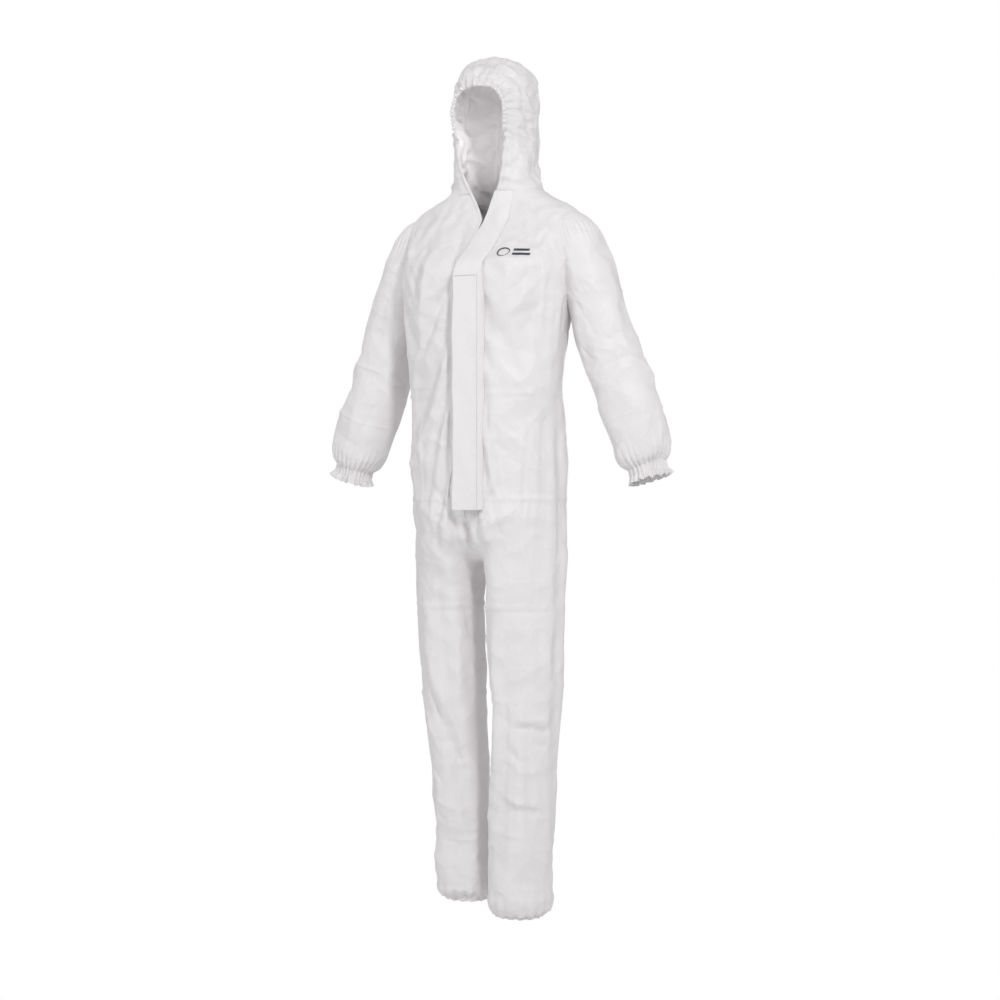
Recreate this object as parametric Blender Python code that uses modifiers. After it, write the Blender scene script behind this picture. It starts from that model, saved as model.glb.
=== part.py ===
"""Hooded protective coverall, worn shape: front towards -Y, wearer's left towards +X, hems at z = 0.

The cloth is a thin shell. Four tubes (trunk, legs, sleeves, hood) are lofted as an outer and an inner
solid. Their difference is a shell, and each cloth panel is the stretch of a shell inside one region.
Sizes are in metres.
"""

import math

import bmesh
import bpy
from mathutils import Matrix, Vector

# Heights
HOOD_TOP_Z = 1.740
FACE_TOP_Z = 1.668
CHIN_Z = 1.545
NECK_Z = 1.475
COLLAR_BOTTOM_Z = 1.440
SHOULDER_Z = 1.385
BUST_Z = 1.270
WAIST_Z = 1.060
HIP_Z = 0.880
CROTCH_Z = 0.745
KNEE_Z = 0.405
RIGHT_HEM_Z = 0.014

# Half widths and half depths of the trunk and the hood
NECK_HALF_WIDTH = 0.078
CHEST_HALF_WIDTH = 0.180
CHEST_HALF_DEPTH = 0.132
WAIST_HALF_WIDTH = 0.142
WAIST_HALF_DEPTH = 0.116
HIP_HALF_WIDTH = 0.165
HIP_HALF_DEPTH = 0.136
HOOD_HALF_WIDTH = 0.084
HOOD_HALF_DEPTH = 0.099
FACE_HALF_WIDTH = 0.056
FRONT_Y = -0.132
NECK_Y = 0.047

# Sleeves
ARM_ANGLE = math.radians(18.5)
SHOULDER_X = 0.178
SHOULDER_JOINT_Z = 1.355
ARM_Y = 0.036
SLEEVE_LENGTH = 0.505
SLEEVE_RADIUS = 0.056
CUFF_RADIUS = 0.036
CUFF_BAND = 0.016
CUFF_FRILL = 0.014
ELBOW_AT = 0.275

# Legs
LEG_SPREAD = 0.091
HEM_SPREAD = 0.069
THIGH_RADIUS = 0.077
KNEE_RADIUS = 0.066
CALF_RADIUS = 0.062
BLOUSE_RADIUS = 0.068
HEM_RADIUS = 0.048
HEM_BAND = 0.036
LEFT_HEM_Y = 0.000
RIGHT_HEM_Y = 0.050

# Cloth, seams and joints
WALL = 0.0016
GAP = 0.0005
SIDE_SEAM_Y = 0.020
GUSSET_HALF_WIDTH = 0.018
GUSSET_CLEARANCE = 0.014
SEAT_SEAM_Z = 0.800
THIGH_TOP_Z = 0.620
KNEE_SPAN = 0.075
ELBOW_SPAN = 0.062
SHOULDER_SPAN = 0.150
WAIST_BAND = 0.030
HOOD_PANEL_HALF_WIDTH = 0.032
HOOD_HINGE_Y = 0.125
HIP_JOINT_Z = 0.860

# Front fastening
ZIP_BOTTOM_Z = 0.860
ZIP_TOP_Z = 1.286
ZIP_GAP = 0.015
V_WIDTH = 0.066
TAPE_WIDTH = 0.012
TAPE_WALL = 0.0008
TOOTH_PITCH = 0.016
TOOTH_DEPTH = 0.0024
TOOTH_TIP_X = 0.0005
TOOTH_ROOT_X = 0.0022
TOOTH_BACK_X = 0.0031
STOP_HEIGHT = 0.0062
STOP_HALF_WIDTH = 0.0032
SLIDER_WIDTH = 0.0095
SLIDER_HEIGHT = 0.013
SLIDER_DEPTH = 0.0040
PULL_LENGTH = 0.017
PULL_WIDTH = 0.006
PULL_WALL = 0.0009
FLAP_WIDTH = 0.052
FLAP_LAP = 0.012
FLAP_STAND_OFF = 0.0095
FLAP_WALL = 0.0016
FLAP_BOTTOM_Z = 0.816
FLAP_TOP_Z = 1.275
CHIN_FLAP_TOP_Z = 1.400
STRIP_WIDTH = 0.006
STRIP_WALL = 0.0005
ELASTIC_RADIUS = 0.0032
MARK_X = 0.100
MARK_Z = 1.322
MARK_WIDTH = 0.060
MARK_HEIGHT = 0.026
MARK_WALL = 0.0006

# Detail of the lofts
TRUNK_SIDES = 32
LEG_SIDES = 16
SLEEVE_SIDES = 14
HOOD_SIDES = 24
FAR = 0.6
OVERHANG = 0.03
SQUARENESS = 2.35
FACE_START = math.radians(-62)
FACE_FINISH = math.radians(242)

SIDES = (("left", 1), ("right", -1))
X_AXIS = Vector((1, 0, 0))
Y_AXIS = Vector((0, 1, 0))


def clear_scene():
    """Removes what the start-up scene holds."""
    for item in list(bpy.data.objects):
        bpy.data.objects.remove(item, do_unlink=True)


def new_collection(name, hidden):
    """A collection under the scene's own. A hidden one holds cutters."""
    group = bpy.data.collections.new(name)
    bpy.context.scene.collection.children.link(group)
    group.hide_render = hidden
    return group


def new_material(name, color, roughness, metallic=0.0):
    """A Principled material with one colour."""
    material = bpy.data.materials.new(name)
    material.use_nodes = True
    shader = material.node_tree.nodes["Principled BSDF"]
    shader.inputs["Base Color"].default_value = (*color, 1.0)
    shader.inputs["Roughness"].default_value = roughness
    shader.inputs["Metallic"].default_value = metallic
    return material


def new_object(name, mesh, group):
    """An object made from a bmesh, in the group. A cutter shows as wire and isn't rendered."""
    bmesh.ops.recalc_face_normals(mesh, faces=mesh.faces)
    data = bpy.data.meshes.new(name)
    mesh.to_mesh(data)
    mesh.free()
    item = bpy.data.objects.new(name, data)
    group.objects.link(item)
    item.hide_render = group.hide_render
    item.display_type = "WIRE" if group.hide_render else "TEXTURED"
    return item


def loft(name, rings, group):
    """A closed solid through rings of points, in triangles so that Booleans cut flat faces."""
    mesh = bmesh.new()
    loops = [[mesh.verts.new(point) for point in ring] for ring in rings]
    for low, high in zip(loops, loops[1:]):
        for here in range(len(low)):
            after = (here + 1) % len(low)
            mesh.faces.new((low[here], low[after], high[after], high[here]))
    mesh.faces.new(loops[0])
    mesh.faces.new(loops[-1])
    bmesh.ops.triangulate(mesh, faces=mesh.faces)
    return new_object(name, mesh, group)


def block(name, low, high, group):
    """A box between two corners."""
    mesh = bmesh.new()
    size = Vector(high) - Vector(low)
    place = Matrix.Translation((Vector(high) + Vector(low)) / 2)
    bmesh.ops.create_cube(mesh, size=1.0, matrix=place @ Matrix.Diagonal((*size, 1.0)))
    return new_object(name, mesh, group)


def prism(name, outline, low_y, high_y, group):
    """A flat outline of (x, z) points, drawn out along Y."""
    rings = [[(x, y, z) for x, z in outline] for y in (low_y, high_y)]
    return loft(name, rings, group)


def combine(item, other, operation):
    """A live Boolean of another object."""
    step = item.modifiers.new(operation.title(), "BOOLEAN")
    step.operation = operation
    step.solver = "EXACT"
    step.object = other


def mix(low, high, share):
    """The value that lies this share of the way from low to high."""
    return low + (high - low) * share


def smooth(rows, at):
    """The row at a place along a table, on a smooth curve through its rows."""
    last = len(rows) - 1
    here = max(0, min(last - 1, sum(1 for row in rows if row[0] <= at) - 1))
    before, low, high, after = (rows[max(0, min(last, here + step))] for step in (-1, 0, 1, 2))
    share = max(0.0, min(1.0, (at - low[0]) / (high[0] - low[0])))
    span = high[0] - low[0]
    found = []
    for column in range(1, len(low)):
        rise = (high[column] - before[column]) / (high[0] - before[0]) * span
        fall = (after[column] - low[column]) / (after[0] - low[0]) * span
        curve = 2 * share**3 - 3 * share**2
        lift = share**3 - 2 * share**2 + share
        drop = share**3 - share**2
        found.append((curve + 1) * low[column] + lift * rise - curve * high[column] + drop * fall)
    return found


def oval(center, across, along, half_across, half_along, sides):
    """A ring of points, a little squarer than an ellipse."""
    ring = []
    for step in range(sides):
        turn = 2 * math.pi * (step + 0.5) / sides
        cosine = math.cos(turn)
        sine = math.sin(turn)
        reach = (abs(cosine) ** SQUARENESS + abs(sine) ** SQUARENESS) ** (-1 / SQUARENESS)
        ring.append(center + across * (half_across * cosine * reach) + along * (half_along * sine * reach))
    return ring


# The trunk: rows of height, middle y, half width and half depth


def trunk_rows():
    """The trunk's profile. Its front stays on one upright plane from the hips to the bust."""
    proud = 0.003
    placket = ((mix(CROTCH_Z, HIP_Z, 0.42), HIP_HALF_WIDTH * 0.985, HIP_HALF_DEPTH * 0.95),
               (HIP_Z, HIP_HALF_WIDTH, HIP_HALF_DEPTH),
               (mix(HIP_Z, WAIST_Z, 0.35), HIP_HALF_WIDTH * 0.985, HIP_HALF_DEPTH * 0.98),
               (mix(HIP_Z, WAIST_Z, 0.75), WAIST_HALF_WIDTH * 1.03, WAIST_HALF_DEPTH * 1.05),
               (WAIST_Z, WAIST_HALF_WIDTH, WAIST_HALF_DEPTH),
               (mix(WAIST_Z, BUST_Z, 0.35), WAIST_HALF_WIDTH * 1.04, WAIST_HALF_DEPTH * 1.04),
               (mix(WAIST_Z, BUST_Z, 0.7), CHEST_HALF_WIDTH * 0.94, CHEST_HALF_DEPTH * 0.985),
               (BUST_Z, CHEST_HALF_WIDTH * 0.98, CHEST_HALF_DEPTH),
               (ZIP_TOP_Z + 0.014, CHEST_HALF_WIDTH, CHEST_HALF_DEPTH * 0.985))
    rows = [(CROTCH_Z, 0.012, HIP_HALF_WIDTH * 0.30, HIP_HALF_DEPTH * 0.42),
            (mix(CROTCH_Z, HIP_Z, 0.15), 0.006, HIP_HALF_WIDTH * 0.74, HIP_HALF_DEPTH * 0.76)]
    rows += [(z, FRONT_Y - proud + depth, width, depth) for z, width, depth in placket]
    rows += [(mix(ZIP_TOP_Z, SHOULDER_Z, 0.55), mix(FRONT_Y + CHEST_HALF_DEPTH, NECK_Y, 0.5),
              CHEST_HALF_WIDTH, CHEST_HALF_DEPTH * 0.92),
             (SHOULDER_Z, mix(FRONT_Y + CHEST_HALF_DEPTH, NECK_Y, 0.85),
              CHEST_HALF_WIDTH * 0.95, CHEST_HALF_DEPTH * 0.76),
             (mix(SHOULDER_Z, COLLAR_BOTTOM_Z, 0.6), NECK_Y,
              mix(NECK_HALF_WIDTH, CHEST_HALF_WIDTH, 0.86), CHEST_HALF_DEPTH * 0.66),
             (COLLAR_BOTTOM_Z + 0.004, NECK_Y, NECK_HALF_WIDTH * 1.5, NECK_HALF_WIDTH * 1.02),
             (mix(COLLAR_BOTTOM_Z, NECK_Z, 0.6), NECK_Y, NECK_HALF_WIDTH * 1.1, NECK_HALF_WIDTH * 0.97),
             (NECK_Z + GAP, NECK_Y, NECK_HALF_WIDTH, NECK_HALF_WIDTH * 0.95)]
    return rows


def trunk_ring(z, grow):
    """One ring of the trunk, larger by grow, with its front pressed flat behind the zip."""
    middle, width, depth = smooth(trunk_rows(), z)
    center = Vector((0, middle, z))
    ring = oval(center, X_AXIS, Y_AXIS, width + grow, depth + grow, TRUNK_SIDES)
    for point in ring:
        point.y = max(point.y, FRONT_Y - grow)
    return ring


def trunk_solid(name, grow, bottom, top, group):
    """The trunk as a closed solid."""
    rows = trunk_rows()
    inner = [row[0] for row in rows if bottom + 0.004 < row[0] < top - 0.004]
    levels = [bottom, *inner, top]
    halves = [mix(low, high, 0.5) for low, high in zip(levels, levels[1:]) if high - low > 0.09]
    return loft(name, [trunk_ring(z, grow) for z in sorted(levels + halves)], group)


def trunk_front_y(x, z):
    """The y of the trunk's front surface at a point near the middle."""
    middle, width, depth = smooth(trunk_rows(), z)
    bulge = (1 - min(0.99, abs(x) / width) ** SQUARENESS) ** (1 / SQUARENESS)
    return max(FRONT_Y, middle - depth * bulge)


# The legs: rows of height, spread, half width and half depth


def leg_rows(hem_z):
    """A leg's profile, from its hem up into the trunk."""
    low_thigh = mix(KNEE_RADIUS, THIGH_RADIUS, 0.7)
    return [(hem_z, HEM_SPREAD, HEM_RADIUS, HEM_RADIUS * 1.05),
            (hem_z + HEM_BAND, HEM_SPREAD, HEM_RADIUS * 1.02, HEM_RADIUS * 1.07),
            (hem_z + HEM_BAND + 0.014, HEM_SPREAD + 0.001, BLOUSE_RADIUS * 0.93, BLOUSE_RADIUS * 0.95),
            (hem_z + HEM_BAND + 0.038, HEM_SPREAD + 0.002, BLOUSE_RADIUS, BLOUSE_RADIUS * 1.03),
            (hem_z + HEM_BAND + 0.085, HEM_SPREAD + 0.003, CALF_RADIUS * 0.99, CALF_RADIUS * 1.06),
            (mix(hem_z, KNEE_Z, 0.55), mix(HEM_SPREAD, LEG_SPREAD, 0.3), CALF_RADIUS, CALF_RADIUS * 1.08),
            (KNEE_Z, mix(HEM_SPREAD, LEG_SPREAD, 0.5), KNEE_RADIUS, KNEE_RADIUS * 1.06),
            (mix(KNEE_Z, CROTCH_Z, 0.5), mix(HEM_SPREAD, LEG_SPREAD, 0.86), low_thigh, low_thigh * 1.08),
            (CROTCH_Z - 0.04, LEG_SPREAD, THIGH_RADIUS, THIGH_RADIUS * 1.16),
            (CROTCH_Z + 0.03, LEG_SPREAD, THIGH_RADIUS, THIGH_RADIUS * 1.32),
            (HIP_JOINT_Z, LEG_SPREAD - 0.004, THIGH_RADIUS * 0.9, THIGH_RADIUS * 1.3)]


def leg_middle_y(z, hem_y):
    """The y of a leg's middle: the legs part a little, one forward and one back."""
    share = max(0.0, min(1.0, z / HIP_JOINT_Z))
    return mix(hem_y, FRONT_Y + HIP_HALF_DEPTH, share**1.2)


def leg_solid(name, side, hem_z, hem_y, grow, overhang, group):
    """One leg as a closed solid, past its hem by overhang."""
    rings = []
    rows = leg_rows(hem_z)
    levels = [row[0] for row in rows]
    halves = [mix(low, high, 0.5) for low, high in zip(levels, levels[1:]) if high - low > 0.08]
    for z in sorted(levels + halves):
        spread, width, depth = smooth(rows, z)
        low_z = z - overhang if z == hem_z else z
        center = Vector((side * spread, leg_middle_y(z, hem_y), low_z))
        rings.append(oval(center, X_AXIS, Y_AXIS, width + grow, depth + grow, LEG_SIDES))
    return loft(name, rings, group)


# The sleeves: rows of distance along the arm, half width across and half width along Y


def sleeve_rows():
    """A sleeve's profile, from inside the shoulder to its frill."""
    gather = SLEEVE_LENGTH - CUFF_FRILL - CUFF_BAND
    return [(-0.045, SLEEVE_RADIUS * 0.76, SLEEVE_RADIUS * 0.96),
            (-0.015, SLEEVE_RADIUS * 0.86, SLEEVE_RADIUS * 1.14),
            (0.06, SLEEVE_RADIUS * 1.0, SLEEVE_RADIUS * 1.16),
            (SHOULDER_SPAN, SLEEVE_RADIUS, SLEEVE_RADIUS * 1.06),
            (ELBOW_AT, SLEEVE_RADIUS, SLEEVE_RADIUS * 1.02),
            (gather - 0.09, SLEEVE_RADIUS * 1.04, SLEEVE_RADIUS),
            (gather - 0.035, SLEEVE_RADIUS * 0.97, SLEEVE_RADIUS * 0.94),
            (gather - 0.010, SLEEVE_RADIUS * 0.80, SLEEVE_RADIUS * 0.8),
            (gather, CUFF_RADIUS, CUFF_RADIUS * 1.06),
            (gather + CUFF_BAND, CUFF_RADIUS, CUFF_RADIUS * 1.06),
            (SLEEVE_LENGTH, CUFF_RADIUS * 1.14, CUFF_RADIUS * 1.2)]


def arm_point(side, along, out=0.0):
    """A point by its distance along the arm and outwards from its middle."""
    down = Vector((side * math.sin(ARM_ANGLE), 0, -math.cos(ARM_ANGLE)))
    across = Vector((side * math.cos(ARM_ANGLE), 0, math.sin(ARM_ANGLE)))
    return Vector((side * SHOULDER_X, ARM_Y, SHOULDER_JOINT_Z)) + down * along + across * out


def sleeve_solid(name, side, grow, overhang, group):
    """One sleeve as a closed solid, longer by overhang at both ends."""
    rings = []
    rows = sleeve_rows()
    across = arm_point(side, 0, 1) - arm_point(side, 0)
    for along, half_across, half_deep in rows:
        end = {rows[0][0]: -overhang, SLEEVE_LENGTH: overhang}.get(along, 0)
        center = arm_point(side, along + end)
        rings.append(oval(center, across, Y_AXIS, half_across + grow, half_deep + grow, SLEEVE_SIDES))
    return loft(name, rings, group)


# The hood: rows of height, middle y, half width and half depth


def hood_rows():
    """The hood's profile, from the neck to its crown."""
    crown = HOOD_TOP_Z - FACE_TOP_Z
    return [(NECK_Z, NECK_Y - 0.004, NECK_HALF_WIDTH, NECK_HALF_WIDTH),
            (mix(NECK_Z, CHIN_Z, 0.6), NECK_Y - 0.010, HOOD_HALF_WIDTH * 0.93, HOOD_HALF_DEPTH * 0.86),
            (mix(CHIN_Z, FACE_TOP_Z, 0.25), NECK_Y - 0.014, HOOD_HALF_WIDTH * 0.97, HOOD_HALF_DEPTH * 0.97),
            (mix(CHIN_Z, FACE_TOP_Z, 0.7), NECK_Y - 0.014, HOOD_HALF_WIDTH, HOOD_HALF_DEPTH),
            (FACE_TOP_Z, NECK_Y - 0.010, HOOD_HALF_WIDTH * 0.97, HOOD_HALF_DEPTH * 0.97),
            (HOOD_TOP_Z - crown * 0.5, NECK_Y - 0.005, HOOD_HALF_WIDTH * 0.83, HOOD_HALF_DEPTH * 0.84),
            (HOOD_TOP_Z - crown * 0.2, NECK_Y, HOOD_HALF_WIDTH * 0.58, HOOD_HALF_DEPTH * 0.60),
            (HOOD_TOP_Z - crown * 0.05, NECK_Y + 0.004, HOOD_HALF_WIDTH * 0.30, HOOD_HALF_DEPTH * 0.31),
            (HOOD_TOP_Z, NECK_Y + 0.005, HOOD_HALF_WIDTH * 0.08, HOOD_HALF_DEPTH * 0.08)]


def hood_solid(name, grow, overhang, group):
    """The hood as a closed solid, past the neck by overhang."""
    rings = []
    rows = hood_rows()
    for z, middle, width, depth in rows:
        level = z - overhang if z == NECK_Z else z
        level += grow if z == HOOD_TOP_Z else 0
        center = Vector((0, middle, level))
        rings.append(oval(center, X_AXIS, Y_AXIS, width + grow, depth + grow, HOOD_SIDES))
    return loft(name, rings, group)


def hood_front_y(x, z):
    """The y of the hood's front surface."""
    middle, width, depth = smooth(hood_rows(), z)
    return middle - depth * (1 - min(0.98, abs(x) / width) ** SQUARENESS) ** (1 / SQUARENESS)


def face_edge(turn, grow):
    """A point (x, z) on the edge of the face opening, larger by grow."""
    half_height = (FACE_TOP_Z - CHIN_Z) / 2
    reach = (abs(math.cos(turn)) ** 2.6 + abs(math.sin(turn)) ** 2.6) ** (-1 / 2.6)
    x = (FACE_HALF_WIDTH + grow) * math.cos(turn) * reach
    z = mix(CHIN_Z, FACE_TOP_Z, 0.5) + (half_height + grow) * math.sin(turn) * reach
    return x, z


def v_half_width(z):
    """Half the width of the open neck below the face opening."""
    share = max(0.0, min(1.0, (z - ZIP_TOP_Z) / (CHIN_Z - ZIP_TOP_Z)))
    return mix(ZIP_GAP / 2, V_WIDTH / 2, share**0.8)


def face_outline():
    """The outline of the hood's opening: round the face, then down to the open neck."""
    count = 38
    margin = ELASTIC_RADIUS + GAP
    outline = [face_edge(mix(FACE_START, FACE_FINISH, step / (count - 1)), margin) for step in range(count)]
    low = v_half_width(NECK_Z)
    return [(low, NECK_Z - 0.1), *outline, (-low, NECK_Z - 0.1)]


# Cloth nodes


def cloth(name, shell, region, material):
    """The stretch of a shell that lies in a region."""
    combine(region, shell, "INTERSECT")
    region.name = name
    region.data.name = name
    region.data.materials.append(material)
    return region


def front_outline(side):
    """The outline of a front panel's region: the middle edge runs up the zip and out along the neck."""
    seam = GAP / 2
    zip_edge = [(ZIP_GAP / 2, ZIP_BOTTOM_Z), (ZIP_GAP / 2, ZIP_TOP_Z)]
    levels = [mix(ZIP_TOP_Z, COLLAR_BOTTOM_Z, share) for share in (0.33, 0.67, 1.0)]
    neck_edge = [(v_half_width(z), z - (seam if z == COLLAR_BOTTOM_Z else 0)) for z in levels]
    outline = [(seam, SEAT_SEAM_Z + seam), (seam, ZIP_BOTTOM_Z), *zip_edge, *neck_edge]
    outline += [(FAR, COLLAR_BOTTOM_Z - seam), (FAR, SEAT_SEAM_Z + seam)]
    return [(side * x, z) for x, z in outline]


def make_trunk(shell, material, group):
    """Front panels, back panels with the gathered waist between them, and the crotch gusset."""
    seam = GAP / 2
    made = []
    for word, side in SIDES:
        region = prism("region", front_outline(side), -FAR, SIDE_SEAM_Y - seam, group)
        made.append(cloth("front_" + word, shell, region, material))
    levels = (("seat_panel", SEAT_SEAM_Z, WAIST_Z - WAIST_BAND / 2),
              ("waist_band", WAIST_Z - WAIST_BAND / 2, WAIST_Z + WAIST_BAND / 2),
              ("back_panel", WAIST_Z + WAIST_BAND / 2, COLLAR_BOTTOM_Z))
    for name, low, high in levels:
        region = block("region", (-FAR, SIDE_SEAM_Y + seam, low + seam), (FAR, FAR, high - seam), group)
        made.append(cloth(name, shell, region, material))
    low = (-GUSSET_HALF_WIDTH + seam, -FAR, THIGH_TOP_Z + GUSSET_CLEARANCE)
    high = (GUSSET_HALF_WIDTH - seam, FAR, SEAT_SEAM_Z - seam)
    made.append(cloth("crotch_gusset", shell, block("region", low, high, group), material))
    return made


def make_leg(word, side, hem_z, shell, material, group):
    """A leg's five stretches of cloth, from the hip to the elastic hem."""
    seam = GAP / 2
    cuts = (("hip", THIGH_TOP_Z, SEAT_SEAM_Z, GUSSET_HALF_WIDTH),
            ("thigh", KNEE_Z + KNEE_SPAN, THIGH_TOP_Z, 0),
            ("knee", KNEE_Z - KNEE_SPAN, KNEE_Z + KNEE_SPAN, 0),
            ("shin", hem_z + HEM_BAND, KNEE_Z - KNEE_SPAN, 0),
            ("ankle_hem", hem_z - 0.1, hem_z + HEM_BAND, 0))
    made = {}
    for name, low, high, inner in cuts:
        reach = sorted((side * (inner + seam), side * FAR))
        region = block("region", (reach[0], -FAR, low + seam), (reach[1], FAR, high - seam), group)
        made[name] = cloth(name + "_" + word, shell, region, material)
    return made


def make_sleeve(word, side, shell, material, group):
    """A sleeve's six stretches of cloth, from the shoulder to the frill."""
    seam = GAP / 2
    gather = SLEEVE_LENGTH - CUFF_FRILL - CUFF_BAND
    cuts = (("shoulder", -0.2, SHOULDER_SPAN),
            ("upper_sleeve", SHOULDER_SPAN, ELBOW_AT - ELBOW_SPAN),
            ("elbow", ELBOW_AT - ELBOW_SPAN, ELBOW_AT + ELBOW_SPAN),
            ("forearm", ELBOW_AT + ELBOW_SPAN, gather),
            ("cuff_elastic", gather, gather + CUFF_BAND),
            ("cuff_frill", gather + CUFF_BAND, SLEEVE_LENGTH + 0.1))
    made = {}
    for name, low, high in cuts:
        corners = []
        for along in (low + seam, high - seam):
            corners.append([arm_point(side, along, out) + Vector((0, y, 0))
                            for out, y in ((-0.2, -0.2), (0.2, -0.2), (0.2, 0.2), (-0.2, 0.2))])
        made[name] = cloth(name + "_" + word, shell, loft("region", corners, group), material)
    return made


def make_hood(shell, material, group):
    """The hood's middle panel, which runs from the brow to the nape, and its two side panels."""
    seam = GAP / 2
    edge = HOOD_PANEL_HALF_WIDTH
    brow_z = mix(CHIN_Z, FACE_TOP_Z, 0.6)
    middle = block("region", (-edge + seam, -FAR, brow_z), (edge - seam, FAR, HOOD_TOP_Z + 0.1), group)
    nape_low = (-edge + seam, NECK_Y, NECK_Z + seam)
    nape = block("nape_region", nape_low, (edge - seam, FAR, brow_z + 0.01), group)
    combine(middle, nape, "UNION")
    nape.hide_render = True
    made = [cloth("hood_middle", shell, middle, material)]
    for word, side in SIDES:
        reach = sorted((side * (edge + seam), side * FAR))
        region = block("region", (reach[0], -FAR, NECK_Z + seam), (reach[1], FAR, HOOD_TOP_Z + 0.1), group)
        made.append(cloth("hood_" + word, shell, region, material))
    return made, nape


# Trim


def face_elastic(material, group):
    """The gathered elastic round the face opening, as an open loop that ends at the neck."""
    line = bpy.data.curves.new("face_elastic", "CURVE")
    line.dimensions = "3D"
    line.bevel_depth = ELASTIC_RADIUS
    line.bevel_resolution = 1
    line.use_fill_caps = True
    spline = line.splines.new("POLY")
    count = 36
    spline.points.add(count - 1)
    for step in range(count):
        x, z = face_edge(mix(FACE_START, FACE_FINISH, step / (count - 1)), 0)
        spline.points[step].co = (x, hood_front_y(x, z) + ELASTIC_RADIUS, z, 1)
    item = bpy.data.objects.new("face_elastic", line)
    group.objects.link(item)
    line.materials.append(material)
    return item


def tooth_rings(side, front_y, back_y):
    """Rings up one side of the zip: a narrow spine that widens to the middle at each tooth."""
    rings = []
    start = ZIP_BOTTOM_Z + 0.010 + (TOOTH_PITCH / 2 if side > 0 else 0)
    count = int((FLAP_TOP_Z - start) / TOOTH_PITCH)
    for tooth in range(count):
        profile = ((0, TOOTH_ROOT_X), (0.12, TOOTH_TIP_X), (0.4, TOOTH_TIP_X), (0.52, TOOTH_ROOT_X))
        for share, inner in profile:
            z = start + (tooth + share) * TOOTH_PITCH
            corners = ((inner, front_y), (TOOTH_BACK_X, front_y), (TOOTH_BACK_X, back_y), (inner, back_y))
            rings.append([Vector((side * x, y, z)) for x, y in corners])
    return rings


def make_zip(materials, group):
    """The zip's tapes and teeth, its bottom stop, its slider and its pull."""
    inner_y = FRONT_Y + WALL + GAP
    tape_back_y = inner_y + TAPE_WALL
    tape_x = TOOTH_BACK_X + GAP
    made = {}
    for word, side in SIDES:
        reach = sorted((side * tape_x, side * (tape_x + TAPE_WIDTH)))
        low = (reach[0], inner_y, ZIP_BOTTOM_Z)
        tape = block("zip_tape_" + word, low, (reach[1], tape_back_y, ZIP_TOP_Z), group)
        tape.data.materials.append(materials["tape"])
        made[tape.name] = tape
        rings = tooth_rings(side, inner_y - TOOTH_DEPTH, tape_back_y)
        teeth = loft("zip_teeth_" + word, rings, group)
        teeth.data.materials.append(materials["teeth"])
        made[teeth.name] = teeth
    stop_z = ZIP_BOTTOM_Z + 0.001
    stop = block("zip_bottom_stop", (-STOP_HALF_WIDTH, inner_y - TOOTH_DEPTH, stop_z),
                 (STOP_HALF_WIDTH, tape_back_y, stop_z + STOP_HEIGHT), group)
    stop.data.materials.append(materials["metal"])
    made["zip_bottom_stop"] = stop
    front = inner_y - TOOTH_DEPTH - GAP
    top = FLAP_TOP_Z - 0.004
    slider = block("zip_slider", (-SLIDER_WIDTH / 2, front - SLIDER_DEPTH, top - SLIDER_HEIGHT),
                   (SLIDER_WIDTH / 2, front, top), group)
    rounding = slider.modifiers.new("Rounding", "BEVEL")
    rounding.width = SLIDER_DEPTH * 0.3
    rounding.segments = 2
    slider.data.materials.append(materials["metal"])
    made["zip_slider"] = slider
    pull_y = front - SLIDER_DEPTH - GAP
    pull = block("zip_pull", (-PULL_WIDTH / 2, pull_y - PULL_WALL, top - 0.004 - PULL_LENGTH),
                 (PULL_WIDTH / 2, pull_y, top - 0.004), group)
    rounding = pull.modifiers.new("Rounding", "BEVEL")
    rounding.width = PULL_WALL * 0.3
    rounding.segments = 1
    pull.data.materials.append(materials["metal"])
    made["zip_pull"] = pull
    return made, Vector((0, pull_y, top - 0.004))


def make_flap(materials, group):
    """The storm flap over the zip, the fold it hangs from, and its adhesive strip with its liner."""
    base_x = FLAP_WIDTH - FLAP_LAP
    back_y = FRONT_Y - FLAP_STAND_OFF
    made = {}
    base = block("flap_base", (base_x - FLAP_WALL, back_y + GAP, FLAP_BOTTOM_Z),
                 (base_x, FRONT_Y - GAP, FLAP_TOP_Z), group)
    flap = block("storm_flap", (-FLAP_LAP, back_y - FLAP_WALL, FLAP_BOTTOM_Z),
                 (base_x, back_y, FLAP_TOP_Z), group)
    strip_x = -FLAP_LAP + GAP
    strip_y = back_y + GAP
    strip = block("adhesive_strip", (strip_x, strip_y, FLAP_BOTTOM_Z + 0.012),
                  (strip_x + STRIP_WIDTH, strip_y + STRIP_WALL, FLAP_TOP_Z - 0.012), group)
    liner = block("release_liner", (strip_x, strip_y + STRIP_WALL + GAP, FLAP_BOTTOM_Z + 0.012),
                  (strip_x + STRIP_WIDTH, strip_y + 2 * STRIP_WALL + GAP, FLAP_TOP_Z - 0.012), group)
    for item, material in ((base, "cloth"), (flap, "cloth"), (strip, "adhesive"), (liner, "liner")):
        item.data.materials.append(materials[material])
        made[item.name] = item
    return made, Vector((base_x, back_y, FLAP_BOTTOM_Z))


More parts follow.
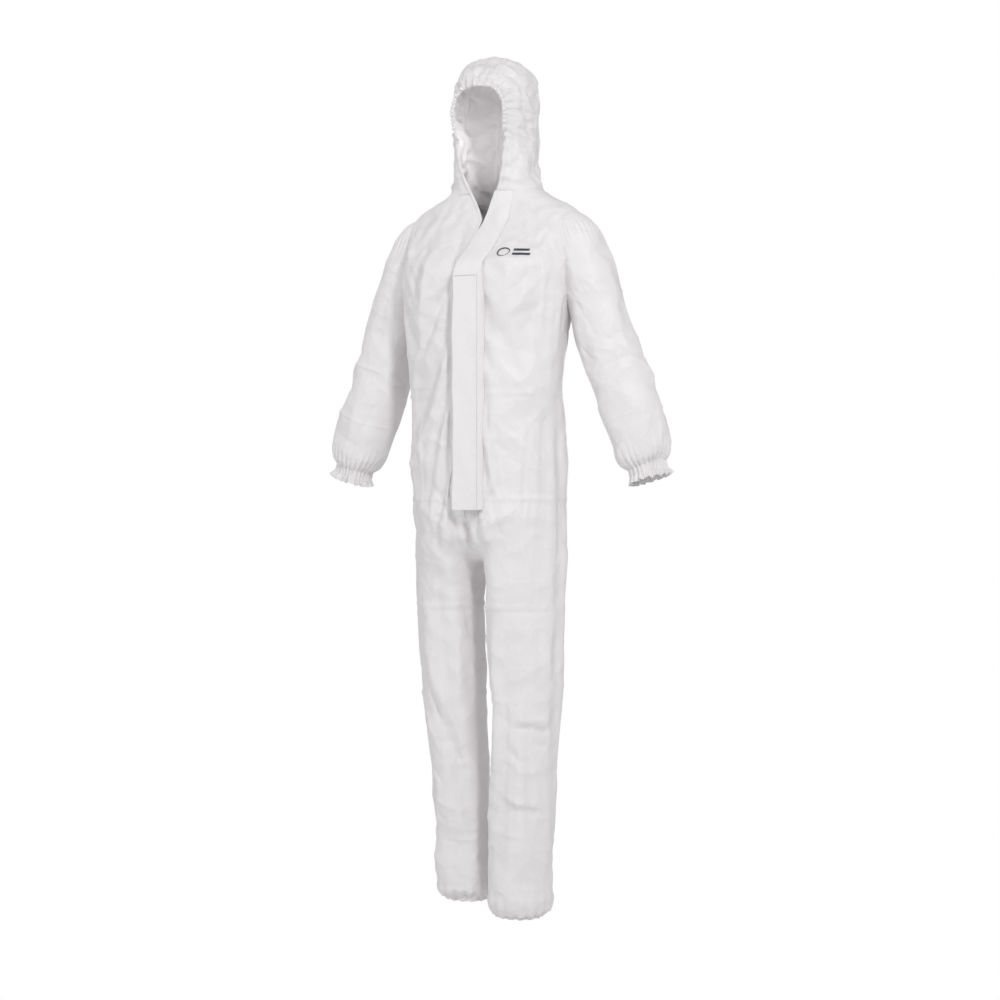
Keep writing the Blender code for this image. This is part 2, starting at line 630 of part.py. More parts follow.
def chin_flap(material, group):
    """The upper stretch of the flap, which follows the chest up to the open neck."""
    rings = []
    count = 7
    for step in range(count):
        share = step / (count - 1)
        z = mix(FLAP_TOP_Z + GAP, CHIN_FLAP_TOP_Z, share)
        middle = mix(FLAP_WIDTH / 2 - FLAP_LAP, V_WIDTH / 2 + 0.012, share**1.4)
        half = mix(FLAP_WIDTH / 2, FLAP_WIDTH / 4, share**1.5)
        low_x = middle - half
        high_x = middle + half
        low_y = min(trunk_front_y(low_x, z), trunk_front_y(high_x, z)) - mix(FLAP_STAND_OFF, 0.004, share)
        high_y = trunk_front_y(high_x, z) - mix(FLAP_STAND_OFF, 0.004, share)
        rings.append([Vector((low_x, low_y, z)), Vector((high_x, high_y, z)),
                      Vector((high_x, high_y - FLAP_WALL, z)), Vector((low_x, low_y - FLAP_WALL, z))])
    item = loft("chin_flap", rings, group)
    item.data.materials.append(material)
    return item


def patch(name, x, z, half_width, half_height, wall, material, group):
    """A small flat patch that lies against the front of the trunk."""
    rings = []
    count = 5
    for step in range(count):
        level = z + mix(-half_height, half_height, step / (count - 1))
        points = []
        for across in (-1.0, -0.33, 0.33, 1.0):
            here = x + across * half_width
            points.append(Vector((here, trunk_front_y(here, level) - 2.2 * GAP, level)))
        rings.append(points + [point - Vector((0, wall, 0)) for point in reversed(points)])
    item = loft(name, rings, group)
    item.data.materials.append(material)
    return item


def hang(items, name, place, group):
    """Parents the items to an empty on their joint's axis."""
    axis = bpy.data.objects.new(name, None)
    axis.empty_display_size = 0.05
    axis.location = place
    group.objects.link(axis)
    for item in items:
        item.parent = axis
        item.matrix_parent_inverse = Matrix.Translation(place).inverted()


def main():
    """Builds the coverall."""
    clear_scene()
    group = new_collection("coverall", False)
    cutters = new_collection("coverall_cutters", True)
    colours = {
        "cloth": new_material("laminate_cloth", (0.84, 0.85, 0.86), 0.62),
        "gather": new_material("gathered_cloth", (0.82, 0.83, 0.84), 0.66),
        "elastic": new_material("elastic", (0.80, 0.81, 0.81), 0.7),
        "tape": new_material("zip_tape", (0.86, 0.86, 0.85), 0.7),
        "teeth": new_material("zip_teeth", (0.88, 0.88, 0.87), 0.4),
        "metal": new_material("zip_metal", (0.62, 0.62, 0.60), 0.35, 1.0),
        "adhesive": new_material("adhesive", (0.80, 0.78, 0.70), 0.45),
        "liner": new_material("liner_paper", (0.90, 0.89, 0.84), 0.5),
        "mark": new_material("printed_mark", (0.16, 0.16, 0.17), 0.6),
    }

    trunk = trunk_solid("trunk_outer", 0, CROTCH_Z, NECK_Z - GAP, cutters)
    trunk_hollow = trunk_solid("trunk_inner", -WALL, CROTCH_Z + WALL, NECK_Z + 0.004, cutters)
    trunk_clear = trunk_solid("trunk_clearance", GAP, CROTCH_Z, NECK_Z + 0.002, cutters)
    hollows = [trunk_hollow]
    for word, side in SIDES:
        hem_z = 0 if side > 0 else RIGHT_HEM_Z
        hem_y = LEFT_HEM_Y if side > 0 else RIGHT_HEM_Y
        leg = leg_solid("leg_outer_" + word, side, hem_z, hem_y, 0, 0, cutters)
        combine(trunk, leg, "UNION")
        hollows.append(leg_solid("leg_inner_" + word, side, hem_z, hem_y, -WALL, 0.01, cutters))
    for hollow in hollows:
        combine(trunk, hollow, "DIFFERENCE")
    sleeves = {}
    for word, side in SIDES:
        hole = sleeve_solid("armhole_" + word, side, GAP, 0, cutters)
        combine(trunk, hole, "DIFFERENCE")
        sleeve = sleeve_solid("sleeve_outer_" + word, side, 0, 0, cutters)
        hollow = sleeve_solid("sleeve_inner_" + word, side, -WALL, OVERHANG, cutters)
        combine(sleeve, hollow, "DIFFERENCE")
        combine(sleeve, trunk_clear, "DIFFERENCE")
        sleeves[word] = sleeve

    panels = make_trunk(trunk, colours["cloth"], group)
    collar = block("region", (-FAR, -FAR, COLLAR_BOTTOM_Z + GAP / 2), (FAR, FAR, NECK_Z - GAP / 2), group)
    half = v_half_width(COLLAR_BOTTOM_Z)
    v_cut = block("neck_v", (-half, -FAR, COLLAR_BOTTOM_Z - 0.1), (half, NECK_Y, NECK_Z + 0.1), cutters)
    combine(collar, v_cut, "DIFFERENCE")
    panels.append(cloth("collar", trunk, collar, colours["gather"]))

    for word, side in SIDES:
        hem_z = 0 if side > 0 else RIGHT_HEM_Z
        hem_y = LEFT_HEM_Y if side > 0 else RIGHT_HEM_Y
        leg = make_leg(word, side, hem_z, trunk, colours["cloth"], group)
        spread = smooth(leg_rows(hem_z), KNEE_Z)[0]
        hip = Vector((side * LEG_SPREAD, SIDE_SEAM_Y, HIP_JOINT_Z))
        hang([leg["hip"], leg["thigh"]], "hip_axis_" + word, hip, group)
        knee = Vector((side * spread, leg_middle_y(KNEE_Z, hem_y), KNEE_Z))
        hang([leg["knee"], leg["shin"], leg["ankle_hem"]], "knee_axis_" + word, knee, group)
        sleeve = make_sleeve(word, side, sleeves[word], colours["cloth"], group)
        upper = [sleeve["shoulder"], sleeve["upper_sleeve"]]
        hang(upper, "shoulder_axis_" + word, arm_point(side, 0), group)
        lower = [sleeve[name] for name in ("elbow", "forearm", "cuff_elastic", "cuff_frill")]
        hang(lower, "elbow_axis_" + word, arm_point(side, ELBOW_AT), group)

    hood = hood_solid("hood_outer", 0, 0, cutters)
    combine(hood, hood_solid("hood_inner", -WALL, 0.01, cutters), "DIFFERENCE")
    combine(hood, prism("face_cut", face_outline(), -FAR, NECK_Y - 0.02, cutters), "DIFFERENCE")
    hood_panels, nape = make_hood(hood, colours["cloth"], group)
    group.objects.unlink(nape)
    cutters.objects.link(nape)
    hood_panels.append(face_elastic(colours["elastic"], group))
    hang(hood_panels, "hood_axis", Vector((0, HOOD_HINGE_Y, NECK_Z)), group)

    zip_parts, pull_axis = make_zip(colours, group)
    hang([zip_parts["zip_pull"]], "pull_axis", pull_axis, group)
    flap_parts, flap_axis = make_flap(colours, group)
    swinging = [flap_parts[name] for name in ("storm_flap", "adhesive_strip", "release_liner")]
    hang(swinging, "flap_axis", flap_axis, group)
    chin_flap(colours["cloth"], group)
    patch("chest_mark", MARK_X, MARK_Z, MARK_WIDTH / 2, MARK_HEIGHT / 2, MARK_WALL, colours["mark"], group)


main()
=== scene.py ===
import math

import bmesh
import bpy
import numpy as np
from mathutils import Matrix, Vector, noise
from mathutils.bvhtree import BVHTree


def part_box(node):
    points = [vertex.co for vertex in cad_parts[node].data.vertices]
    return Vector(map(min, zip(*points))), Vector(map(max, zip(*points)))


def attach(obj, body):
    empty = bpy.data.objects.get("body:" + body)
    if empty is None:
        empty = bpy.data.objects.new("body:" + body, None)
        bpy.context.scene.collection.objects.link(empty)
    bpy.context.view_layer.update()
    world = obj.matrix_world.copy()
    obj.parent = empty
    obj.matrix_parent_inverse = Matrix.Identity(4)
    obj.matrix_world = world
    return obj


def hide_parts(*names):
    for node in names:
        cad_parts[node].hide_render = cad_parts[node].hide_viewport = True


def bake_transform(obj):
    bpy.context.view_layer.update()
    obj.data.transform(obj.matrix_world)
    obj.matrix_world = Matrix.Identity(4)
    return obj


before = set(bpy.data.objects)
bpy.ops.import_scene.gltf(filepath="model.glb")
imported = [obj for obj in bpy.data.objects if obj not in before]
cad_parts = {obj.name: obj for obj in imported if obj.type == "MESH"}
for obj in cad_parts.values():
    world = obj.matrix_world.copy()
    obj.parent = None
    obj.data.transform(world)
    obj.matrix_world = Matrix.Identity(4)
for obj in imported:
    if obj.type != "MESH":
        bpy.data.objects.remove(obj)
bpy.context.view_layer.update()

# ---------------------------------------------------------------------------------------------
# The studio: a pale floor, a white surround and two large soft lamps, as for a catalogue picture.
# The camera stands at the wearer's left front, level with the waist.
floor_mesh = bmesh.new()
bmesh.ops.create_grid(floor_mesh, x_segments=1, y_segments=1, size=30.0)
bmesh.ops.translate(floor_mesh, verts=floor_mesh.verts, vec=(0, 0, -0.0712))
floor_data = bpy.data.meshes.new("floor")
floor_mesh.to_mesh(floor_data)
floor = bpy.data.objects.new("floor", floor_data)
bpy.context.scene.collection.objects.link(floor)
floor_paint = bpy.data.materials.new("pale_floor")
floor_paint.use_nodes = True
floor_paint.node_tree.nodes["Principled BSDF"].inputs["Base Color"].default_value = (0.93, 0.93, 0.93, 1)
floor_paint.node_tree.nodes["Principled BSDF"].inputs["Roughness"].default_value = 0.9
floor_data.materials.append(floor_paint)

surround = bpy.data.worlds.new("surround")
bpy.context.scene.world = surround
bpy.context.scene.view_settings.view_transform = "Standard"
surround.use_nodes = True
surround.node_tree.nodes["Background"].inputs["Color"].default_value = (1, 0.99, 1, 1)
surround.node_tree.nodes["Background"].inputs["Strength"].default_value = 0.50


def white_to_camera(tree, lit, output, kind):
    """Lets a surface light the scene as it is, while the camera sees plain white."""
    seen = tree.nodes.new(kind)
    seen.inputs["Color"].default_value = (1, 1, 1, 1)
    ray = tree.nodes.new("ShaderNodeLightPath")
    either = tree.nodes.new("ShaderNodeMixShader")
    tree.links.new(ray.outputs["Is Camera Ray"], either.inputs[0])
    tree.links.new(lit.outputs[0], either.inputs[1])
    tree.links.new(seen.outputs[0], either.inputs[2])
    tree.links.new(either.outputs[0], output.inputs["Surface"])


sky = surround.node_tree
white_to_camera(sky, sky.nodes["Background"], sky.nodes["World Output"], "ShaderNodeBackground")
ground = floor_paint.node_tree
white_to_camera(ground, ground.nodes["Principled BSDF"], ground.nodes["Material Output"], "ShaderNodeEmission")

VIEW_TURN = math.radians(25)
VIEW_DISTANCE = 3.65
VIEW_LEVEL = 0.836
view_side = Vector((math.cos(VIEW_TURN), math.sin(VIEW_TURN), 0))
view_back = Vector((math.sin(VIEW_TURN), -math.cos(VIEW_TURN), 0))
camera = bpy.data.objects.new("camera", bpy.data.cameras.new("camera"))
camera.location = view_back * VIEW_DISTANCE + view_side * 0.022 + Vector((0, 0, VIEW_LEVEL))
camera.rotation_euler = (math.radians(90), 0, VIEW_TURN)
camera.data.sensor_width = 36
camera.data.lens = 64.7
bpy.context.scene.collection.objects.link(camera)
bpy.context.scene.camera = camera
LAMPS = (("key", 1.1, 3.2, 3.0, 58, 0.45), ("side", 2.8, 0.6, 1.9, 5, 0.8), ("fill", -2.6, 1.7, 1.7, 17, 0.9),
         ("rim", -1.8, -2.2, 2.4, 6, 1.6))
for lamp_name, side, back, height, energy, size in LAMPS:
    lamp = bpy.data.objects.new(lamp_name, bpy.data.lights.new(lamp_name, "AREA"))
    lamp.data.energy = energy
    lamp.data.size = size
    lamp.location = view_side * side + view_back * back + Vector((0, 0, height))
    lamp.rotation_euler = (Vector((0, 0, 0.95)) - lamp.location).to_track_quat("-Z", "Y").to_euler()
    bpy.context.scene.collection.objects.link(lamp)
glow = bpy.data.objects.new("glow", bpy.data.lights.new("glow", "POINT"))
glow.data.energy = 0.12
glow.data.shadow_soft_size = 0.03
glow.location = (0, 0.02, 1.575)
glow.visible_camera = False
bpy.context.scene.collection.objects.link(glow)

# ---------------------------------------------------------------------------------------------
# The cloth: a matt white nonwoven with a thin film on it. It is crisp like paper, lets a little light
# through, has a fine embossed grain and keeps the creases it was packed with.


def cloth_material(name, color, grain=0.15, crumple=0.8, scale=13.0):
    """The laminate in one shade, with its grain and its small packed-in crumples as relief."""
    made = bpy.data.materials.new(name)
    made.use_nodes = True
    tree = made.node_tree
    shader = tree.nodes["Principled BSDF"]
    shader.inputs["Base Color"].default_value = (*color, 1)
    shader.inputs["Roughness"].default_value = 0.55
    shader.inputs["Sheen Weight"].default_value = 0.1
    place = tree.nodes.new("ShaderNodeTexCoord")
    wander = tree.nodes.new("ShaderNodeTexNoise")
    wander.inputs["Scale"].default_value = scale * 0.6
    bent = tree.nodes.new("ShaderNodeVectorMath")
    bent.operation = "MULTIPLY_ADD"
    bent.inputs[1].default_value = (0.06, 0.06, 0.06)
    tree.links.new(place.outputs["Object"], wander.inputs["Vector"])
    tree.links.new(wander.outputs["Color"], bent.inputs[0])
    tree.links.new(place.outputs["Object"], bent.inputs[2])
    facets = tree.nodes.new("ShaderNodeTexVoronoi")
    facets.feature = "F1"
    facets.inputs["Scale"].default_value = scale
    facets.inputs["Detail"].default_value = 1.0
    tree.links.new(bent.outputs["Vector"], facets.inputs["Vector"])
    fine = tree.nodes.new("ShaderNodeTexNoise")
    fine.inputs["Scale"].default_value = 700
    tree.links.new(place.outputs["Object"], fine.inputs["Vector"])
    small = tree.nodes.new("ShaderNodeBump")
    small.inputs["Strength"].default_value = grain
    small.inputs["Distance"].default_value = 0.0006
    tree.links.new(fine.outputs["Fac"], small.inputs["Height"])
    large = tree.nodes.new("ShaderNodeBump")
    large.inputs["Strength"].default_value = crumple
    large.inputs["Distance"].default_value = 0.010
    tree.links.new(facets.outputs["Distance"], large.inputs["Height"])
    tree.links.new(small.outputs["Normal"], large.inputs["Normal"])
    tree.links.new(large.outputs["Normal"], shader.inputs["Normal"])
    return made


laminate = cloth_material("laminate", (0.81, 0.79, 0.80))

# ---------------------------------------------------------------------------------------------
# The body: trunk and legs, cut as one piece each side and sewn at the centre, sides and inner legs.
# Its shape as filled out is lofted, joined into one skin, and then settled as cloth over a form.
NECK_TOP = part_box("collar")[1][2]
NECK_SEAM = NECK_TOP - 0.012
SHOULDER = 1.385
BUST = 1.270
WAIST = 1.060
HIP = 0.880
CROTCH = 0.745
KNEE = 0.405
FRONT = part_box("front_left")[0][1]
NECK_Y = 0.047
LEG_SPREAD = 0.091
HEM_SPREAD = 0.069
LEG_END = 0.013
SQUARENESS = 2.35
HEMS = {"left": (1, 0.0, 0.0), "right": (-1, 0.014, 0.050)}


def mix(low, high, share):
    """The value that lies this share of the way from low to high."""
    return low + (high - low) * share


def smooth_rows(rows, at):
    """The row at a place along a table, on a smooth curve through its rows."""
    places = [row[0] for row in rows]
    last = len(rows) - 1
    here = max(0, min(last - 1, sum(1 for place in places if place <= at) - 1))
    before, low, high, after = (rows[max(0, min(last, here + step))] for step in (-1, 0, 1, 2))
    span = high[0] - low[0]
    share = max(0.0, min(1.0, (at - low[0]) / span))
    found = []
    for column in range(1, len(low)):
        rise = (high[column] - before[column]) / (high[0] - before[0]) * span
        fall = (after[column] - low[column]) / (after[0] - low[0]) * span
        curve = 2 * share**3 - 3 * share**2
        lift = share**3 - 2 * share**2 + share
        drop = share**3 - share**2
        found.append((curve + 1) * low[column] + lift * rise - curve * high[column] + drop * fall)
    return found


def tube(name, sections, sides):
    """A skin through rings, each given as middle, across, along, half width and half depth. The ends stay open."""
    skin = bmesh.new()
    before = None
    for middle, across, along, half_width, half_depth in sections:
        ring = []
        for step in range(sides):
            turn = 2 * math.pi * step / sides
            cosine = math.cos(turn)
            sine = math.sin(turn)
            reach = (abs(cosine) ** SQUARENESS + abs(sine) ** SQUARENESS) ** (-1 / SQUARENESS)
            ring.append(skin.verts.new(middle + across * (half_width * cosine * reach) + along * (half_depth * sine * reach)))
        edges = [skin.edges.new((ring[step - 1], ring[step])) for step in range(sides)]
        if before:
            bmesh.ops.bridge_loops(skin, edges=before + edges)
        before = edges
    bmesh.ops.recalc_face_normals(skin, faces=skin.faces)
    return skin


trunk_rows = [(CROTCH, 0.012, 0.050, 0.057), (0.765, 0.006, 0.122, 0.103), (0.802, -0.006, 0.1625, 0.129),
              (HIP, 0.001, 0.165, 0.136), (0.943, -0.002, 0.1625, 0.133), (1.015, -0.013, 0.146, 0.122),
              (WAIST, -0.019, 0.142, 0.116), (1.134, -0.014, 0.148, 0.121), (1.207, -0.005, 0.169, 0.130),
              (BUST, -0.003, 0.1765, 0.132), (1.300, -0.005, 0.181, 0.130), (1.3405, 0.0235, 0.188, 0.121),
              (SHOULDER, 0.040, 0.198, 0.100), (1.412, 0.047, 0.188, 0.087), (1.430, 0.047, 0.163, 0.082),
              (1.446, 0.047, 0.133, 0.079), (1.461, 0.047, 0.101, 0.077), (NECK_TOP + 0.012, 0.047, 0.088, 0.074)]


def leg_rows(hem):
    """A leg's height, spread, half width and half depth, from the hem up."""
    return [(hem + 0.004, HEM_SPREAD, 0.054, 0.056), (hem + 0.016, HEM_SPREAD, 0.0600, 0.0640),
            (hem + 0.040, 0.071, 0.0630, 0.0680), (hem + 0.074, 0.0715, 0.0635, 0.0690),
            (hem + 0.121, 0.072, 0.0610, 0.066),
            (mix(hem, KNEE, 0.55), 0.0755, 0.062, 0.067), (KNEE, 0.080, 0.066, 0.070),
            (0.575, 0.088, 0.0737, 0.0796), (0.705, LEG_SPREAD, 0.077, 0.089), (0.775, LEG_SPREAD, 0.077, 0.1015),
            (0.860, 0.087, 0.069, 0.100)]


def leg_middle(z, hem_y):
    """The y of a leg's middle line."""
    share = max(0.0, min(1.0, z / 0.860)) ** 1.2
    return mix(hem_y, FRONT + 0.136, share)


X_AXIS = Vector((1, 0, 0))
Y_AXIS = Vector((0, 1, 0))
sections = []
for step in range(47):
    z = mix(CROTCH + 0.001, NECK_TOP + 0.012, step / 46)
    middle_y, half_width, half_depth = smooth_rows(trunk_rows, z)
    sections.append((Vector((0, middle_y, z)), X_AXIS, Y_AXIS, half_width, half_depth))
body = tube("trunk", sections, 64)
for vertex in body.verts:
    vertex.co.y = max(vertex.co.y, FRONT)
for word, (side, hem, hem_y) in HEMS.items():
    sections = []
    for step in range(41):
        z = mix(hem + 0.006, 0.860, step / 40)
        spread, half_width, half_depth = smooth_rows(leg_rows(hem), z)
        sections.append((Vector((side * spread, leg_middle(z, hem_y), z)), X_AXIS, Y_AXIS, half_width, half_depth))
    leg = tube("leg", sections, 40)
    data = bpy.data.meshes.new("leg")
    leg.to_mesh(data)
    leg.free()
    body.from_mesh(data)
    bpy.data.meshes.remove(data)
bmesh.ops.holes_fill(body, edges=body.edges, sides=0)
bmesh.ops.recalc_face_normals(body, faces=body.faces)
body_data = bpy.data.meshes.new("body_cloth")
body.to_mesh(body_data)
body.free()
body_cloth = bpy.data.objects.new("body_cloth", body_data)
bpy.context.scene.collection.objects.link(body_cloth)
remesh = body_cloth.modifiers.new("Skin", "REMESH")
remesh.mode = "VOXEL"
remesh.voxel_size = 0.0085
ready = bpy.data.meshes.new_from_object(body_cloth.evaluated_get(bpy.context.evaluated_depsgraph_get()))
body_cloth.modifiers.clear()
body_cloth.data = ready
skin = bmesh.new()
skin.from_mesh(ready)
for turn in range(8):
    bmesh.ops.smooth_vert(skin, verts=skin.verts, factor=0.5, use_axis_x=True, use_axis_y=True, use_axis_z=True)
cuts = [((0, 0, NECK_SEAM), (0, 0, 1), lambda p: p.z > 1.3)]
for word, (side, hem, hem_y) in HEMS.items():
    cuts.append(((0, 0, hem + LEG_END), (0, 0, -1), lambda p, side=side: p.z < 0.2 and p.x * side > 0))
for point, normal, near in cuts:
    chosen = [face for face in skin.faces if near(face.calc_center_median())]
    edges = {edge for face in chosen for edge in face.edges}
    verts = {vertex for face in chosen for vertex in face.verts}
    bmesh.ops.bisect_plane(skin, geom=[*verts, *edges, *chosen], plane_co=point, plane_no=normal, clear_outer=True)
skin.to_mesh(ready)
print("BODY verts", len(skin.verts))
skin.free()
ready.shade_smooth()
ready.materials.append(laminate)


def places_of(mesh):
    """A mesh's points as an array."""
    found = np.empty(len(mesh.vertices) * 3)
    mesh.vertices.foreach_get("co", found)
    return found.reshape(-1, 3)


def settle(cloth, clearance, held, growth, frames, bending, cap):
    """Lets a skin settle as cloth round a slimmer form, then keeps each point within cap of where it was."""
    start = places_of(cloth.data)
    normals = np.array([vertex.normal for vertex in cloth.data.vertices])
    form = bpy.data.objects.new("form", cloth.data.copy())
    bpy.context.scene.collection.objects.link(form)
    form.data.vertices.foreach_set("co", (start - normals * clearance[:, None]).ravel())
    form.modifiers.new("Collision", "COLLISION")
    form.collision.thickness_outer = 0.002
    form.collision.cloth_friction = 12
    group = cloth.vertex_groups.new(name="held")
    for index in np.flatnonzero(held > 0.01):
        group.add([int(index)], float(held[index]), "REPLACE")
    step = cloth.modifiers.new("Cloth", "CLOTH")
    step.settings.quality = 5
    step.settings.mass = 0.15
    step.settings.air_damping = 2
    step.settings.tension_stiffness = 20
    step.settings.compression_stiffness = 20
    step.settings.shear_stiffness = 8
    step.settings.bending_stiffness = bending
    step.settings.vertex_group_mass = "held"
    step.settings.shrink_min = -growth
    step.settings.shrink_max = -growth
    step.collision_settings.distance_min = 0.002
    step.collision_settings.collision_quality = 2
    for moment in range(1, frames + 1):
        bpy.context.scene.frame_set(moment)
    settled = cloth.evaluated_get(bpy.context.evaluated_depsgraph_get()).to_mesh()
    moved = places_of(settled) - start
    length = np.linalg.norm(moved, axis=1)[:, None] + 1e-9
    moved *= cap * np.tanh(length / cap) / length
    cloth.modifiers.remove(step)
    cloth.vertex_groups.clear()
    bpy.data.objects.remove(form)
    bpy.context.scene.frame_set(1)
    cloth.data.vertices.foreach_set("co", (start + moved).ravel())
    cloth.data.update()


def ramp(value, low, high):
    """0 below low, 1 above high and a smooth rise between."""
    share = np.clip((value - low) / (high - low), 0, 1)
    return share * share * (3 - 2 * share)


points = places_of(body_cloth.data)
height = points[:, 2]
roomy = 0.006 + 0.020 * (1 - ramp(height, 1.15, 1.33)) + 0.006 * (1 - ramp(height, 0.5, 0.8))
fixed = ramp(height, 1.42, 1.45) + (1 - ramp(height, 0.030, 0.060))
fixed += 0.5 * ramp(height, 0.8, 0.86) * (1 - ramp(np.abs(points[:, 0]), 0.012, 0.03)) * (points[:, 1] < 0)
fixed += 0.8 * ramp(np.abs(points[:, 0]), 0.150, 0.165) * ramp(height, 1.22, 1.27)
reach = (0.004 + 0.026 * ramp(height, 0.05, 0.32))[:, None]
settle(body_cloth, roomy, np.clip(fixed, 0, 1), 0.035, 40, 0.6, reach)
smoothing = body_cloth.modifiers.new("Smoothing", "SUBSURF")
smoothing.levels = 1
smoothing.render_levels = 1
finer = bpy.data.meshes.new_from_object(body_cloth.evaluated_get(bpy.context.evaluated_depsgraph_get()))
body_cloth.modifiers.clear()
body_cloth.data = finer

# Folds and creases of the body: wide drag folds where the wearer's shape pulls, the sharp lines of the
# pack it was folded in, and short random crumples. Each is a soft ridge or valley along a line.
DRAWN_FOLDS = (  # x, z, x, z on the front, height in mm, width in mm
    (-0.024, 1.088, -0.151, 0.883, 4.5, 11), (-0.045, 1.120, -0.150, 0.940, -2.5, 9),
    (-0.070, 1.360, -0.105, 1.130, 3.5, 13), (-0.095, 1.330, -0.130, 1.180, -2.5, 9),
    (0.134, 1.190, 0.150, 1.090, -3.5, 8), (0.118, 1.210, 0.138, 1.120, 2.5, 9),
    (0.150, 1.275, 0.100, 1.205, 3.5, 9), (-0.150, 1.275, -0.105, 1.190, 3.5, 9),
    (0.160, 1.245, 0.115, 1.170, -2.5, 8), (0.060, 1.120, 0.145, 1.020, 2.5, 10),
    (0.050, 1.000, 0.145, 0.915, 3.0, 10), (0.055, 0.960, 0.130, 0.885, -2.0, 8),
    (0.130, 1.400, 0.152, 1.330, 2.5, 7), (-0.130, 1.400, -0.152, 1.320, 3.0, 8),
    (0.012, 0.795, 0.075, 0.865, -4.0, 8), (-0.012, 0.795, -0.080, 0.870, -4.0, 8),
    (0.020, 0.770, 0.100, 0.815, 3.0, 9), (-0.020, 0.770, -0.105, 0.820, 3.0, 9),
    (0.000, 0.745, 0.003, 0.812, -3.5, 7), (-0.100, 0.760, -0.040, 0.700, 2.5, 10),
    (-0.127, 0.493, -0.066, 0.351, -5.5, 8), (-0.108, 0.500, -0.050, 0.365, 3.5, 8),
    (-0.066, 0.351, -0.046, 0.298, -4.0, 7), (-0.140, 0.440, -0.090, 0.330, 3.0, 8),
    (-0.120, 0.230, -0.050, 0.205, 3.0, 8), (-0.125, 0.300, -0.080, 0.255, -2.5, 7),
    (-0.030, 0.600, -0.050, 0.450, 3.0, 9), (0.094, 0.388, 0.122, 0.386, -4.5, 6),
    (0.122, 0.386, 0.152, 0.370, -4.5, 6), (0.090, 0.402, 0.150, 0.396, 3.5, 8),
    (0.080, 0.340, 0.102, 0.319, -4.0, 6), (0.125, 0.357, 0.148, 0.342, -3.5, 6),
    (0.088, 0.225, 0.142, 0.217, -3.5, 7), (0.066, 0.250, 0.122, 0.228, 3.5, 7),
    (0.150, 0.550, 0.152, 0.440, 3.5, 7), (0.030, 0.560, 0.060, 0.430, 2.5, 9),
    (0.045, 0.180, 0.120, 0.165, 2.5, 7), (0.085, 0.700, 0.078, 0.120, 1.8, 5),
    (-0.085, 0.700, -0.078, 0.130, 1.8, 5))
FOLD_HEIGHT = 0.0016
PACK_CREASES = (1.045, 0.838, 0.623, 0.440, 0.300, 0.146)


def noise_at(points, scale, seed):
    """Smooth noise at each point, from about -1 to 1."""
    moved = points * np.array(scale) + seed
    return np.array([noise.noise(Vector(point)) for point in moved])


def crest(flat, line, height, width):
    """A ridge along a line in a flat picture of the cloth, sharp on top and fading to both sides and ends."""
    start = np.array(line[:2])
    run = np.array(line[2:]) - start
    share = np.clip(((flat - start) @ run) / (run @ run), 0, 1)
    away = np.linalg.norm(flat - start - share[:, None] * run, axis=1)
    return height * np.exp(-((np.sqrt(away**2 + (0.25 * width) ** 2) - 0.25 * width) / width)) * (1 - 0.5 * np.abs(2 * share - 1))


def crumples(flat, low, high, count, seed, height):
    """Short random creases spread over a flat picture of the cloth."""
    dice = np.random.RandomState(seed)
    total = np.zeros(len(flat))
    for turn in range(count):
        place = dice.uniform(low, high)
        angle = dice.uniform(0, math.pi)
        reach = dice.uniform(0.012, 0.045)
        step = np.array([math.cos(angle), math.sin(angle)]) * reach
        total += crest(flat, (*(place - step), *(place + step)), dice.uniform(-height, height), dice.uniform(0.004, 0.008))
    return total


points = places_of(finer)
normals = np.array([vertex.normal for vertex in finer.vertices])
before = ramp(-normals[:, 1], 0.0, 0.5)
front_view = points[:, [0, 2]]
lift = np.zeros(len(points))
for ax, az, bx, bz, tall, wide in DRAWN_FOLDS:
    lift += before * crest(front_view, (ax, az, bx, bz), tall * FOLD_HEIGHT, wide / 1000)
lift += before * crumples(front_view, (-0.17, 0.08), (0.17, 1.40), 120, 11, 0.0034)
lift += (1 - before) * crumples(front_view, (-0.17, 0.08), (0.17, 1.40), 90, 12, 0.0026)
side_view = points[:, [1, 2]]
lift += 0.6 * (1 - before) * crumples(side_view, (-0.13, 0.08), (0.13, 1.40), 60, 13, 0.0026)
waver = 0.004 * noise_at(points, (9, 9, 0.1), 3.1)
for level in PACK_CREASES:
    away = np.abs(points[:, 2] - level - waver)
    there = 0.15 + ramp(noise_at(points, (6, 6, 0.1), 90.0 + 7 * level), -0.25, 0.35)
    lift += there * (0.0018 * np.exp(-away / 0.003) - 0.0008 * np.exp(-(((away - 0.010) / 0.006) ** 2)))
lift += 0.0040 * noise_at(points, (13, 13, 5), 5.7) + 0.0050 * noise_at(points, (7, 7, 2.5), 8.3)
lift += 0.0060 * (0.35 - np.abs(noise_at(points, (9, 9, 5), 15.1))) + 0.0030 * (0.35 - np.abs(noise_at(points, (19, 19, 13), 16.1)))
# The elastic across the back of the waist pulls the cloth into short upright gathers.
gathered = ramp(points[:, 1], 0.005, 0.03) * np.exp(-(((points[:, 2] - 1.060) / 0.030) ** 2))
lift += gathered * (0.0028 * np.cos(points[:, 0] * 620 + 3 * waver / 0.004) - 0.008)
